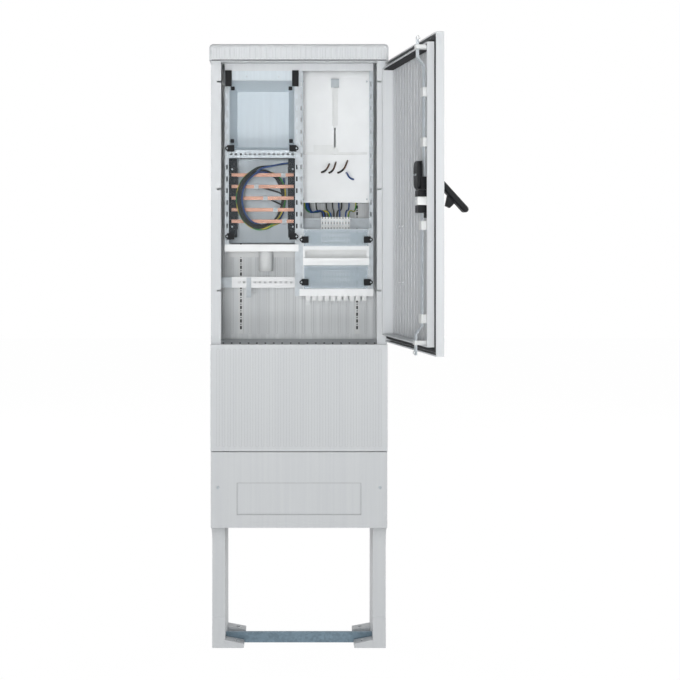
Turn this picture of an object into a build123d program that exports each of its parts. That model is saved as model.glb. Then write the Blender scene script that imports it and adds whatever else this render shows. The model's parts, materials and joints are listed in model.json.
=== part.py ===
"""Outdoor distribution board: a fluted plastic pillar on a two-legged plinth, its door standing open."""

import os
from math import cos, hypot, radians, sin

from build123d import *

os.makedirs("parts", exist_ok=True)

# Driving sizes of the pillar, in millimetres: X to the right, Y to the back, Z up from the ground
cabinet_width = 590
cabinet_depth = 320
plinth_height = 674
housing_height = 1360
wall = 4
overrun = 1
running_gap = 0.3

half_width = cabinet_width / 2
front_y = -cabinet_depth / 2
back_y = cabinet_depth / 2
roof_top = plinth_height + housing_height

# Flutes on the outside and stiffening ribs on the inside of the moulded walls
flute_pitch = 18.6
flute_width = 7
flute_height = 1.2
rib_pitch = 32
rib_width = 5
rib_height = 2.5
rib_margin = 16

# Roof hood
hood_height = 55
hood_overhang = 4.5
hood_wall = 4
hood_radius = 14
hood_ledge = 12
wall_top_drop = 38
hood_bottom = roof_top - hood_height
wall_top = roof_top - wall_top_drop

# Side walls with their front stiles and rear returns
door_depth = 24
door_gap = 1
stile_width = 34
rear_return = 20
notch_width = 14
notch_height = 6
notch_drops = (71, 431, 771)
stile_y = front_y + door_depth + door_gap
opening_half = half_width - stile_width
web_inner = half_width - wall
rib_tip_x = web_inner - rib_height

# Rear wall
rear_wall_thickness = 6
rear_inner_y = back_y - wall - rear_wall_thickness

# Lower front panel and floor plate
seam_gap = 3
lower_panel_height = 355
ledge_depth = 52
ledge_slot_length = 13
ledge_slot_width = 5
floor_setback = 68
floor_thickness = 4
floor_lip = 18
lower_panel_bottom = plinth_height + seam_gap
lower_panel_top = lower_panel_bottom + lower_panel_height

# Top cross rail
cross_rail_depth = 23
cross_rail_drop = 57
cross_rail_bottom = roof_top - cross_rail_drop

# Plinth covers, legs and the bar between the feet
cover_thickness = 5
cover_height = 252
cover_side_gap = 1
recess_side = 88
recess_height = 107
recess_drop = 102
recess_depth = 3
cover_edge = 2
leg_depth = 45
leg_outer_gap = 1
leg_wall = 5
foot_reach = 95
ankle_reach = 90
ankle_height = 100
shank_reach = 88
flare_rise = 77
leg_rib_height = 8
toe_length = 63
toe_inner_y = 52
toe_root_height = 27
toe_tip_height = 15
foot_bolt_radius = 6.5
foot_bolt_inset = 28
bar_height = 35
bar_depth = 13
bar_wall = 3
bar_lift = 3
bar_setback = 5
cover_bottom = plinth_height - cover_height
flare_start = cover_bottom - flare_rise
leg_outer_x = half_width - leg_outer_gap
leg_inner_x = half_width - leg_depth
recess_width = cabinet_width - 2 * recess_side

# Door leaf, hung on the right and drawn standing open
door_open_angle = 100.6
door_side_gap = 10
door_height = 932
door_lift = 9
hinge_offset_x = 8
hinge_offset_y = 7
door_skin = 4
rim_inset = 30
rim_inset_z = 25
rim_depth = 18
rim_wall = 4
step_wall = 4
seal_inset = 12
seal_width = 9
seal_gap = 0.8
lock_land = 40
door_boss_radius = 4
door_boss_height = 6
door_boss_s = 120
door_boss_pitch = 40
door_boss_drops = (85, 265)
door_width = cabinet_width - 2 * door_side_gap
door_bottom = lower_panel_top + door_lift
door_top = door_bottom + door_height
door_middle = (door_bottom + door_top) / 2
hinge_x = door_width / 2 + hinge_offset_x
hinge_y = front_y + door_depth - hinge_offset_y
door_near = hinge_offset_x
door_far = hinge_offset_x + door_width
door_outer = door_depth - hinge_offset_y
door_inner = -hinge_offset_y
door_panel = door_outer - door_skin
rim_tip = door_inner - rim_depth

open_angle = radians(door_open_angle)
along_door = Vector(-cos(open_angle), -sin(open_angle), 0)
out_of_door = Vector(sin(open_angle), -cos(open_angle), 0)
door_plane = Plane(origin=(hinge_x, hinge_y, 0), x_dir=along_door, z_dir=(0, 0, 1))
door_face = Plane(origin=(hinge_x, hinge_y, 0), x_dir=along_door, z_dir=-out_of_door)

# Hinges
knuckle_radius = 6
hinge_pin_radius = 2.95
hinge_bore_radius = 3
knuckle_length = 20
pin_head_radius = 5
pin_head_height = 2.5
hinge_plate = 1.5
hinge_plate_height = 60
hinge_web_left = 4
hinge_web_right = 2
hinge_drop = 50
hinge_pitch = 416
hinge_levels = [door_top - hinge_drop - hinge_pitch * step for step in range(3)]

# Swing handle on the outside of the door
lock_setback = 78
tray_width = 44
tray_height = 168
tray_thickness = 4.5
tray_corner = 10
tray_lift = 28
pocket_width = 34
pocket_height = 76
pocket_drop = 12
pocket_depth = 33
pocket_wall = 2.5
pocket_gap = 0.5
rotor_drop = 432
rotor_radius = 12
rotor_gap = 0.3
pivot_stand = 16
lug_width = 10
lug_radius = 8
lever_length = 112
lever_width = 28
lever_thickness = 19
lever_out_angle = 43.7
lever_slot_gap = 0.4
lever_grip_chamfer = 4
nose_start = 30
nose_end = 68
nose_tip_start = 55
nose_depth = 27
nose_tip_depth = 22
nose_width = 12
lever_pin_radius = 2.5
lock_s = door_far - lock_setback
rotor_level = door_top - rotor_drop
tray_face = door_outer + tray_thickness
pivot_n = door_outer + pivot_stand
pocket_top = rotor_level - pocket_drop - rotor_radius
pocket_floor = door_outer - pocket_depth

# Two-way rod lock on the inside of the door
cam_radius = 19
cam_thickness = 5
drive_pin_radius = 3
drive_pin_offset = 9
drive_pin_length = 7
rod_width = 16
rod_thickness = 5
rod_gap = 0.4
rod_head_side = 15
rod_head_height = 18
pin_slot_gap = 0.8
rod_crank_rise = 24
rod_crank_offset = 19
rod_crank_margin = 62
rod_tip_margin = 3
case_width = 58
case_wall = 3
case_height = 84
case_hook = 34
guide_width = 28
guide_height = 26
guide_wall = 3
guide_levels_from_rotor = (266, 120, -122, -395)
end_guide_width = 22
end_guide_height = 12
lock_ward_width = 22
lock_ward_height = 34
lock_ward_depth = 4
lock_ward_chamfer = 1.5
cam_n = rim_tip + step_wall + rod_thickness + rod_gap
rod_n_back = cam_n - cam_thickness - rod_gap
rod_n_front = rod_n_back - rod_thickness

# Equipment bay: folded uprights that carry a left and a right column of modules
bay_gap = 9
sheet = 2
upright_sheet = 3
upright_flange = 12
upright_front_y = -84
upright_back_y = 130
bay_top_drop = 79
hole_pitch = 40
hole_width = 5
hole_height = 16
carrier_height = 24
carrier_drops = (55, 330, 610)
rail_inset = 44
rail_width = 18
rail_depth = 12
rail_wall = 2
rail_bottom_lift = 15
rail_slot_pitch = 24
rail_slot_width = 6
rail_slot_height = 12
bay_top = roof_top - bay_top_drop
bay_half = opening_half - bay_gap
rail_x = bay_half - rail_inset
frame_back_y = upright_front_y + sheet
flange_inner_x = bay_half - sheet - upright_flange
centre_half = upright_sheet / 2
centre_flange_x = centre_half + upright_flange
left_x = -(bay_half - sheet)
right_x = bay_half - sheet

# Left column: meter tray under a clear cover
tray_box_height = 239
tray_box_drop = 32
tray_box_depth = 130
tray_box_taper = 9
tray_box_side = 12
cover_sheet = 2
cover_rise = 10
cover_margin = 2
cover_bracket_width = 22
cover_bracket_depth = 13
cover_bracket_reach = 22
cover_bracket_radius = 3
tray_lip = 24
vent_count = 14
vent_width = 8
vent_height = 7
tray_box_top = bay_top - tray_box_drop
tray_box_bottom = tray_box_top - tray_box_height
cover_front_y = frame_back_y - cover_rise

# Left column: busbar compartment
busbar_bay_height = 294
busbar_bay_gap = 19
busbar_base_y = 60
busbar_lip = 20
bar_pitch = 40
bar_count = 5
busbar_tall = 12
busbar_thick = 8
busbar_y = -12
first_bar_drop = 59
busbar_end_gap = 14
holder_width = 34
holder_inset = 3
holder_margin = 14
holder_grip = 12
clamp_width = 15
clamp_height = 20
clamp_depth = 9
clamp_chamfer = 2
clamp_x_shares = (0.05, 0.633, 0.437, 0.221, 0.028)
coil_side_gap = 1.5
coil_half_height = 92
coil_ring = 16
coil_thickness = 12
coil_tilt = 28
coil_hang_gap = 3.1
busbar_bay_top = tray_box_bottom - busbar_bay_gap
busbar_bay_bottom = busbar_bay_top - busbar_bay_height
first_bar_z = busbar_bay_top - first_bar_drop
bar_levels = [first_bar_z - bar_pitch * step for step in range(bar_count)]
holder_outer_x = left_x + holder_inset

# Shelves under the two columns
shelf_height = 24
shelf_lip = 3
shelf_back_y = 125
left_shelf_gap = 5
left_shelf_top = busbar_bay_bottom - left_shelf_gap
left_upright_bottom = left_shelf_top - shelf_height

# Cable space under the left shelf
sleeve_radius = 25
sleeve_wall = 3
sleeve_height = 92
sleeve_x_share = 0.472
sleeve_y = 92
clamp_rail_height = 37
clamp_rail_depth = 12
clamp_rail_drop = 88
clamp_rail_y = -20
clamp_rail_inset = 18
clamp_slot_pitch = 18
clamp_slot_width = 9
clamp_slot_height = 7
hanger_x_share = 0.692
hanger_width = 16
hanger_length = 70
hanger_thickness = 4
hanger_bolt_radius = 6
hanger_bolt_length = 8
hanger_hook = 14
sleeve_x = sleeve_x_share * left_x
hanger_x = hanger_x_share * left_x
clamp_rail_left_x = left_x + clamp_rail_inset

# Right column: meter panel with its adjustable cross
meter_panel_y = 50
meter_panel_height = 437
meter_panel_drop = 5
meter_flange = 16
meter_rail_width = 20
meter_rail_depth = 12
meter_rail_top_drop = 10
meter_rail_length = 168
meter_rail_lip = 5
meter_rail_wall = 2
meter_hook_width = 28
meter_hook_height = 30
meter_hook_depth = 8
meter_hook_chamfer = 2.5
meter_hook_tongue = 7
cross_slot_width = 6
cross_slot_length = 88
crossbar_drop = 274
crossbar_height = 9
crossbar_depth = 6
crossbar_margin = 12
hub_radius = 13
hub_rise = 12
hub_stud_radius = 2.4
hub_plate_width = 62
hub_plate_height = 34
meter_rail_x = (centre_half + right_x) / 2
meter_panel_top = bay_top - meter_panel_drop
meter_panel_bottom = meter_panel_top - meter_panel_height
crossbar_z = bay_top - crossbar_drop
meter_rail_top = bay_top - meter_rail_top_drop

# Right column: terminal rows
terminal_count = 10
terminal_pitch = 10
terminal_gap = 0.4
terminal_height = 41
terminal_depth = 48
terminal_fall = 53
terminal_back_y = 5
terminal_well = 5
terminal_well_depth = 8
terminal_step = 12
din_height = 35
din_depth = 7.5
din_wall = 1.5
din_brim = 5
row_cover_upper_height = 58
row_cover_lower_height = 79
row_upper_fall = 42
row_lower_fall = 165
row_shelf_gap = 1
window_margin = 6
row_gap_margin = 12
row_bar_height = 24
row_bar_fall = 140
row_bar_depth = 8
row_bar_pitch = 20
row_bar_slot_width = 11
row_bar_slot_height = 6
outlet_count = 10
outlet_margin = 6
outlet_width = 14
outlet_height = 38
outlet_depth = 28
terminal_top = meter_panel_bottom - terminal_fall
terminal_x = meter_rail_x - terminal_pitch * terminal_count / 2
row_frame_top = terminal_top - terminal_height
row_upper_top = terminal_top - row_upper_fall
row_lower_top = terminal_top - row_lower_fall
row_bar_top = terminal_top - row_bar_fall
right_shelf_top = row_lower_top - row_cover_lower_height - row_shelf_gap
right_upright_bottom = right_shelf_top - shelf_height

# Quarter-turn cover latches
latch_radius = 7
latch_arm = 31
latch_arm_height = 22
latch_arm_thickness = 6
latch_arm_gap = 1.5
latch_x = left_x + latch_radius
centre_latch_x = centre_half + latch_radius
upper_latch_z = tray_box_bottom + latch_radius
busbar_latch_z = busbar_bay_bottom + latch_arm_height
row_upper_latch_z = row_upper_top - row_cover_upper_height + latch_arm_height
row_lower_latch_z = row_lower_top - row_cover_lower_height + latch_arm_height

# Wires of the right column: places across the panel and along each route as shares, then terminal numbers
lead_radius = 3.2
wire_sides = 8
lead_reach = 58
lead_fall = 40
lead_lean = 30
lead_bend = 12
wire_radius = 2.6
drop_bend = 9
lead_route_shares = ((0, 0, 0), (0.448, 0, 0), (0.759, 0.86, 0.45), (1, 1, 1))
lead_root_shares = {
    "black_wires": ((0.42, 0.804, 0.8, -0.93), (0.513, 0.839, 1, -0.83), (0.678, 0.875, 1.15, -1.2)),
    "blue_wires": ((0.662, 0.62, 0.65, 0.75),),
    "earth_wire": (),
}
drop_run_shares = (0.4, 0.45)
drop_start_shares = {
    "black_wires": ((0.235, 0), (0.38, 2), (0.469, 4)),
    "blue_wires": ((0.557, 6), (0.702, 8)),
    "earth_wire": ((0.799, 9),),
}


def block(x, y, z, mode=Mode.ADD):
    """Add a box between two values on each axis to the part being built."""
    middle = [(low + high) / 2 for low, high in (x, y, z)]
    size = [high - low for low, high in (x, y, z)]
    with Locations(tuple(middle)):
        Box(*size, mode=mode)


def rod(start, direction, radius, length, mode=Mode.ADD):
    """Add a round rod from a point along a direction, seen in the frame of the part being built."""
    with Locations(Plane(origin=start, z_dir=direction)):
        Cylinder(radius, length, align=(Align.CENTER, Align.CENTER, Align.MIN), mode=mode)


def ribs(plane, places, width, low, high, height):
    """Add upright ribs at the given places on a face, whose plane has its y upwards, in one extrusion."""
    with BuildSketch(plane) as rib_feet:
        with Locations(*[(place, (low + high) / 2) for place in places]):
            Rectangle(width, high - low)
    extrude(rib_feet.sketch, amount=height)


def slots(plane, places, levels, width, height, depth):
    """Cut a grid of upright slots through a face, whose plane has its y upwards, in one extrusion."""
    with BuildSketch(plane) as openings:
        with Locations(*[(place, level) for place in places for level in levels]):
            Rectangle(width, height)
    extrude(openings.sketch, amount=depth, both=True, mode=Mode.SUBTRACT)


def spread(low, high, pitch):
    """Places at a fixed pitch, centred between two values."""
    count = int((high - low) / pitch) + 1
    start = (low + high - pitch * (count - 1)) / 2
    return [start + pitch * step for step in range(count)]


def save(builder, name):
    """Label a finished piece and write its file."""
    builder.part.label = name
    export_step(builder.part, f"parts/{name}.step")


# Roof hood: a rounded cap with a stepped hollow whose ledge rests on the wall tops, fluted along its front
with BuildPart() as roof_hood:
    with BuildSketch(Plane.XY.offset(hood_bottom)):
        RectangleRounded(
            cabinet_width + 2 * hood_overhang, cabinet_depth + 2 * hood_overhang, hood_radius
        )
    extrude(amount=hood_height)
    fillet(roof_hood.faces().sort_by(Axis.Z)[-1].edges(), hood_radius)
    hood_inner_x = half_width + hood_overhang - hood_wall
    hood_inner_y = back_y + hood_overhang - hood_wall
    with BuildSketch(Plane.XY.offset(hood_bottom)):
        Rectangle(2 * hood_inner_x, 2 * hood_inner_y)
    extrude(amount=wall_top - hood_bottom, mode=Mode.SUBTRACT)
    with BuildSketch(Plane.XY.offset(wall_top)):
        Rectangle(2 * (hood_inner_x - hood_ledge), 2 * (hood_inner_y - hood_ledge))
    extrude(amount=roof_top - hood_wall - wall_top, mode=Mode.SUBTRACT)
    hood_front = front_y - hood_overhang
    ribs(
        Plane.XZ.offset(-hood_front),
        spread(-half_width + hood_radius, half_width - hood_radius, flute_pitch),
        flute_width,
        hood_bottom + hood_wall,
        roof_top - hood_radius,
        flute_height,
    )
save(roof_hood, "roof_hood")

# Side walls: one extruded section each, with the front stile, the web and the rear return
for side, name in ((-1, "left_side_wall"), (1, "right_side_wall")):
    with BuildPart() as side_wall:
        with BuildSketch(Plane.XY.offset(plinth_height)):
            with BuildLine():
                Polyline(
                    (side * opening_half, stile_y),
                    (side * half_width, stile_y),
                    (side * half_width, back_y),
                    (side * (half_width - rear_return), back_y),
                    (side * (half_width - rear_return), back_y - wall),
                    (side * web_inner, back_y - wall),
                    (side * web_inner, stile_y + wall),
                    (side * opening_half, stile_y + wall),
                    close=True,
                )
            make_face()
        extrude(amount=wall_top - plinth_height)
        ribs(
            Plane.YZ.offset(side * half_width),
            spread(stile_y + rib_margin, back_y - rib_margin, flute_pitch),
            flute_width,
            plinth_height + rib_margin,
            hood_bottom - rib_margin,
            side * flute_height,
        )
        ribs(
            Plane.YZ.offset(side * web_inner),
            spread(stile_y + 2 * rib_margin, rear_inner_y - rib_margin, rib_pitch),
            rib_width,
            plinth_height,
            cross_rail_bottom - rib_margin,
            -side * rib_height,
        )
        notch_span = sorted((side * opening_half, side * (opening_half + notch_width)))
        for drop in notch_drops:
            level = hood_bottom - drop
            block(
                notch_span,
                (stile_y - overrun, stile_y + wall + overrun),
                (level, level + notch_height),
                mode=Mode.SUBTRACT,
            )
    save(side_wall, name)

# Rear wall: a flat panel behind the side walls' returns, ribbed inside and fluted outside
with BuildPart() as rear_wall:
    block(
        (-web_inner, web_inner),
        (rear_inner_y, rear_inner_y + rear_wall_thickness),
        (plinth_height, wall_top),
    )
    ribs(
        Plane.XZ.offset(-rear_inner_y),
        spread(-web_inner + rib_margin, web_inner - rib_margin, rib_pitch),
        rib_width,
        lower_panel_top + rib_margin,
        wall_top - rib_margin,
        rib_height,
    )
    fluted_half = half_width - rear_return - flute_width
    ribs(
        Plane.XZ.offset(wall - back_y),
        spread(-fluted_half, fluted_half, flute_pitch),
        flute_width,
        plinth_height + rib_margin,
        hood_bottom - rib_margin,
        -flute_height,
    )
save(rear_wall, "rear_wall")

# Top cross rail: the angle between the stiles that the upper rod locks behind
with BuildPart() as top_cross_rail:
    with BuildSketch(Plane.YZ.offset(-web_inner)):
        rail_y = stile_y + wall
        with BuildLine():
            Polyline(
                (rail_y, cross_rail_bottom),
                (rail_y + cross_rail_depth, cross_rail_bottom),
                (rail_y + cross_rail_depth, cross_rail_bottom + wall),
                (rail_y + wall, cross_rail_bottom + wall),
                (rail_y + wall, wall_top),
                (rail_y, wall_top),
                close=True,
            )
        make_face()
    extrude(amount=2 * web_inner)
save(top_cross_rail, "top_cross_rail")

# Lower front panel: a fluted tray with a slotted ledge along its top, which the lower rod locks behind
with BuildPart() as lower_front_panel:
    block((-half_width, half_width), (front_y, stile_y), (lower_panel_bottom, lower_panel_top))
    back_face = lower_front_panel.faces().sort_by(Axis.Y)[-1]
    offset(amount=-wall, openings=back_face)
    ledge_back_y = front_y + ledge_depth
    ledge_bottom = lower_panel_top - wall
    block((-opening_half, opening_half), (stile_y, ledge_back_y), (ledge_bottom, lower_panel_top))
    slots(
        Plane.XY.offset(lower_panel_top),
        spread(-opening_half + rib_margin, opening_half - rib_margin, rib_pitch),
        [(stile_y + ledge_back_y) / 2],
        ledge_slot_width,
        ledge_slot_length,
        wall + overrun,
    )
    ribs(
        Plane.XZ.offset(-front_y),
        spread(-half_width + rib_margin, half_width - rib_margin, flute_pitch),
        flute_width,
        lower_panel_bottom + rib_margin,
        lower_panel_top - rib_margin,
        flute_height,
    )
save(lower_front_panel, "lower_front_panel")

# Floor plate of the equipment bay, folded down along its front and back
with BuildPart() as floor_plate:
    floor_front = front_y + floor_setback
    floor_back = rear_inner_y - rib_height
    with BuildSketch(Plane.YZ.offset(-rib_tip_x)):
        with BuildLine():
            Polyline(
                (floor_front, ledge_bottom),
                (floor_back, ledge_bottom),
                (floor_back, ledge_bottom - floor_lip),
                (floor_back - floor_thickness, ledge_bottom - floor_lip),
                (floor_back - floor_thickness, ledge_bottom - floor_thickness),
                (floor_front + floor_thickness, ledge_bottom - floor_thickness),
                (floor_front + floor_thickness, ledge_bottom - floor_lip),
                (floor_front, ledge_bottom - floor_lip),
                close=True,
            )
        make_face()
    extrude(amount=2 * rib_tip_x)
save(floor_plate, "floor_plate")

# Plinth covers, front and back, the front one with a shallow recessed field
cover_half = half_width - cover_side_gap
for face_y, inward, name in ((front_y, 1, "plinth_front_cover"), (back_y, -1, "plinth_rear_cover")):
    with BuildPart() as plinth_cover:
        block(
            (-cover_half, cover_half),
            sorted((face_y, face_y + inward * cover_thickness)),
            (cover_bottom, plinth_height),
        )
        recess_top = plinth_height - recess_drop
        block(
            (-recess_width / 2, recess_width / 2),
            sorted((face_y - inward * overrun, face_y + inward * recess_depth)),
            (recess_top - recess_height, recess_top),
            mode=Mode.SUBTRACT,
        )
        fillet(plinth_cover.edges().filter_by(Axis.Z).group_by(Axis.X)[0], cover_edge)
        fillet(plinth_cover.edges().filter_by(Axis.Z).group_by(Axis.X)[-1], cover_edge)
    save(plinth_cover, name)

# Legs: a flared moulding with thin walls, open to the outside, on a foot with two bored toes
leg_top_half = back_y - cover_thickness
for side, name in ((-1, "left_leg"), (1, "right_leg")):
    with BuildPart() as leg:
        with BuildSketch(Plane.YZ.offset(side * leg_inner_x)) as leg_outline:
            with BuildLine():
                flare_right = Polyline(
                    (-shank_reach, flare_start),
                    (-shank_reach, ankle_height + leg_wall),
                    (-ankle_reach, ankle_height),
                    (-foot_reach, 0),
                    (foot_reach, 0),
                    (ankle_reach, ankle_height),
                    (shank_reach, ankle_height + leg_wall),
                    (shank_reach, flare_start),
                )
                TangentArc(flare_right @ 1, (leg_top_half, cover_bottom), tangent=(0, 1))
                Polyline(
                    (leg_top_half, cover_bottom),
                    (leg_top_half, plinth_height),
                    (-leg_top_half, plinth_height),
                    (-leg_top_half, cover_bottom),
                )
                TangentArc(flare_right @ 0, (-leg_top_half, cover_bottom), tangent=(0, 1))
            make_face()
        extrude(amount=side * (leg_outer_x - leg_inner_x))
        with BuildSketch(Plane.YZ.offset(side * (leg_inner_x + leg_wall))):
            add(leg_outline.sketch_local)
            offset(amount=-leg_wall, mode=Mode.REPLACE)
        extrude(amount=side * (leg_outer_x - leg_inner_x), mode=Mode.SUBTRACT)
        for level in (ankle_height, flare_start, cover_bottom):
            block(
                sorted((side * (leg_inner_x + leg_wall), side * (leg_outer_x - leg_wall))),
                (-shank_reach + leg_wall, shank_reach - leg_wall),
                (level - leg_rib_height / 2, level + leg_rib_height / 2),
            )
        for toe_start in (-foot_reach, toe_inner_y):
            with BuildSketch(Plane.XZ.offset(-toe_start)):
                with BuildLine():
                    Polyline(
                        (side * leg_inner_x, 0),
                        (side * leg_inner_x, toe_root_height),
                        (side * (leg_inner_x - toe_length), toe_tip_height),
                        (side * (leg_inner_x - toe_length), 0),
                        close=True,
                    )
                make_face()
            extrude(amount=-(foot_reach - toe_inner_y))
        bolt_x = side * (leg_inner_x - toe_length + foot_bolt_inset)
        bolt_y = (foot_reach + toe_inner_y) / 2
        for y in (-bolt_y, bolt_y):
            rod(
                (bolt_x, y, -overrun),
                (0, 0, 1),
                foot_bolt_radius,
                toe_root_height + 2 * overrun,
                mode=Mode.SUBTRACT,
            )
    save(leg, name)

# Channel bar between the two feet
with BuildPart() as foot_cross_bar:
    bar_y = -toe_inner_y + bar_setback
    with BuildSketch(Plane.YZ.offset(-leg_inner_x)):
        with BuildLine():
            Polyline(
                (bar_y, bar_lift),
                (bar_y + bar_depth, bar_lift),
                (bar_y + bar_depth, bar_lift + bar_wall),
                (bar_y + bar_wall, bar_lift + bar_wall),
                (bar_y + bar_wall, bar_lift + bar_height - bar_wall),
                (bar_y + bar_depth, bar_lift + bar_height - bar_wall),
                (bar_y + bar_depth, bar_lift + bar_height),
                (bar_y, bar_lift + bar_height),
                close=True,
            )
        make_face()
    extrude(amount=2 * leg_inner_x)
save(foot_cross_bar, "foot_cross_bar")

# Door leaf, in the open door's own frame: x from the hinge axis to the free edge, y out of the outer face
tray_bottom = rotor_level + tray_lift - tray_height
pocket_bottom = pocket_top - pocket_height
pocket_half = pocket_width / 2
rim_near = door_near + rim_inset
rim_far = door_far - rim_inset
rim_bottom = door_bottom + rim_inset_z
rim_top = door_top - rim_inset_z
with BuildPart(door_plane) as door_leaf:
    block((door_near, door_far), (door_inner, door_outer), (door_bottom, door_top))
    block(
        (door_near + door_skin, door_far - door_skin),
        (door_inner - overrun, door_panel),
        (door_bottom + door_skin, door_top - door_skin),
        mode=Mode.SUBTRACT,
    )
    block((rim_near, rim_far), (rim_tip, door_panel), (rim_bottom, rim_top))
    block(
        (rim_near + rim_wall, rim_far - rim_wall),
        (rim_tip - overrun, door_panel),
        (rim_bottom + rim_wall, rim_top - rim_wall),
        mode=Mode.SUBTRACT,
    )
    ribs(
        door_face.offset(-door_panel),
        spread(rim_near + rib_margin, lock_s - lock_land, rib_pitch),
        rib_width,
        rim_bottom + rim_wall,
        rim_top - rim_wall,
        rib_height,
    )
    ribs(
        door_face.offset(-door_outer),
        spread(door_near + rib_margin, lock_s - lock_land, flute_pitch),
        flute_width,
        door_bottom + rib_margin,
        door_top - rib_margin,
        -flute_height,
    )
    for drop in door_boss_drops:
        for s in (door_boss_s, door_boss_s + door_boss_pitch):
            rod((s, door_panel, door_middle - drop), (0, -1, 0), door_boss_radius, door_boss_height)
    block(
        (lock_s - pocket_half - pocket_gap, lock_s + pocket_half + pocket_gap),
        (door_panel - overrun, door_outer + overrun),
        (pocket_bottom - pocket_gap, pocket_top + pocket_gap),
        mode=Mode.SUBTRACT,
    )
    rod(
        (lock_s, door_panel - overrun, rotor_level),
        (0, 1, 0),
        rotor_radius + rotor_gap,
        door_skin + 2 * overrun,
        mode=Mode.SUBTRACT,
    )
save(door_leaf, "door_leaf")

# Rubber seal laid in the channel round the door
with BuildPart(door_plane) as door_seal:
    seal_span = (door_near + seal_inset, door_far - seal_inset)
    seal_z = (door_bottom + seal_inset, door_top - seal_inset)
    seal_tip = door_inner + seal_gap
    block(seal_span, (seal_tip, door_panel), seal_z)
    block(
        (seal_span[0] + seal_width, seal_span[1] - seal_width),
        (seal_tip - overrun, door_panel + overrun),
        (seal_z[0] + seal_width, seal_z[1] - seal_width),
        mode=Mode.SUBTRACT,
    )
save(door_seal, "door_seal")

# Hinges: a frame knuckle below, a door knuckle above and a headed pin through both, three times
with BuildPart() as frame_hinge_knuckles:
    for level in hinge_levels:
        rod((hinge_x, hinge_y, level - knuckle_length), (0, 0, 1), knuckle_radius, knuckle_length)
        block(
            (hinge_x - hinge_web_left, hinge_x + hinge_web_right),
            (hinge_y, stile_y),
            (level - knuckle_length, level),
        )
        rod(
            (hinge_x, hinge_y, level - knuckle_length - overrun),
            (0, 0, 1),
            hinge_bore_radius,
            knuckle_length + 2 * overrun,
            mode=Mode.SUBTRACT,
        )
save(frame_hinge_knuckles, "frame_hinge_knuckles")

with BuildPart(door_plane) as door_hinge_leaves:
    for level in hinge_levels:
        low = level + running_gap
        high = low + knuckle_length
        middle = (low + high) / 2
        rod((0, 0, low), (0, 0, 1), knuckle_radius, knuckle_length)
        block((0, door_near), (-hinge_bore_radius, hinge_bore_radius), (low, high))
        block(
            (door_near - hinge_plate, door_near),
            (door_inner, door_panel),
            (middle - hinge_plate_height / 2, middle + hinge_plate_height / 2),
        )
        rod(
            (0, 0, low - overrun),
            (0, 0, 1),
            hinge_bore_radius,
            knuckle_length + 2 * overrun,
            mode=Mode.SUBTRACT,
        )
save(door_hinge_leaves, "door_hinge_leaves")

with BuildPart() as hinge_pins:
    for level in hinge_levels:
        pin_top = level + running_gap + knuckle_length + running_gap
        rod(
            (hinge_x, hinge_y, level - knuckle_length),
            (0, 0, 1),
            hinge_pin_radius,
            pin_top - level + knuckle_length,
        )
        rod((hinge_x, hinge_y, pin_top), (0, 0, 1), pin_head_radius, pin_head_height)
save(hinge_pins, "hinge_pins")

# Handle tray on the outer face, with a pocket through the door for the lever's nose
with BuildPart(door_plane) as handle_tray:
    with BuildSketch(door_face.offset(-tray_face)):
        with Locations((lock_s, tray_bottom + tray_height / 2)):
            RectangleRounded(tray_width, tray_height, tray_corner)
    extrude(amount=tray_thickness)
    block(
        (lock_s - pocket_half, lock_s + pocket_half),
        (pocket_floor, door_outer),
        (pocket_bottom, pocket_top),
    )
    block(
        (lock_s - pocket_half + pocket_wall, lock_s + pocket_half - pocket_wall),
        (pocket_floor + pocket_wall, tray_face + overrun),
        (pocket_bottom + pocket_wall, pocket_top - pocket_wall),
        mode=Mode.SUBTRACT,
    )
    rod(
        (lock_s, door_outer - overrun, rotor_level),
        (0, 1, 0),
        rotor_radius + rotor_gap,
        tray_thickness + 2 * overrun,
        mode=Mode.SUBTRACT,
    )
save(handle_tray, "handle_tray")

# Handle rotor: a barrel through the door, with the lever's lug outside and a cam with two drive pins inside
with BuildPart(door_plane) as handle_rotor:
    barrel_tip = tray_face + running_gap
    rod((lock_s, cam_n, rotor_level), (0, 1, 0), rotor_radius, barrel_tip - cam_n)
    block(
        (lock_s - lug_width / 2, lock_s + lug_width / 2),
        (barrel_tip, pivot_n),
        (rotor_level - lug_radius, rotor_level + lug_radius),
    )
    rod((lock_s - lug_width / 2, pivot_n, rotor_level), (1, 0, 0), lug_radius, lug_width)
    rod(
        (lock_s - lug_width, pivot_n, rotor_level),
        (1, 0, 0),
        lever_pin_radius + rotor_gap / 2,
        2 * lug_width,
        mode=Mode.SUBTRACT,
    )
    rod((lock_s, cam_n, rotor_level), (0, -1, 0), cam_radius, cam_thickness)
    for turn in (1, -1):
        rod(
            (
                lock_s + turn * drive_pin_offset,
                cam_n - cam_thickness,
                rotor_level - turn * drive_pin_offset,
            ),
            (0, -1, 0),
            drive_pin_radius,
            drive_pin_length,
        )
save(handle_rotor, "handle_rotor")

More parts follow.
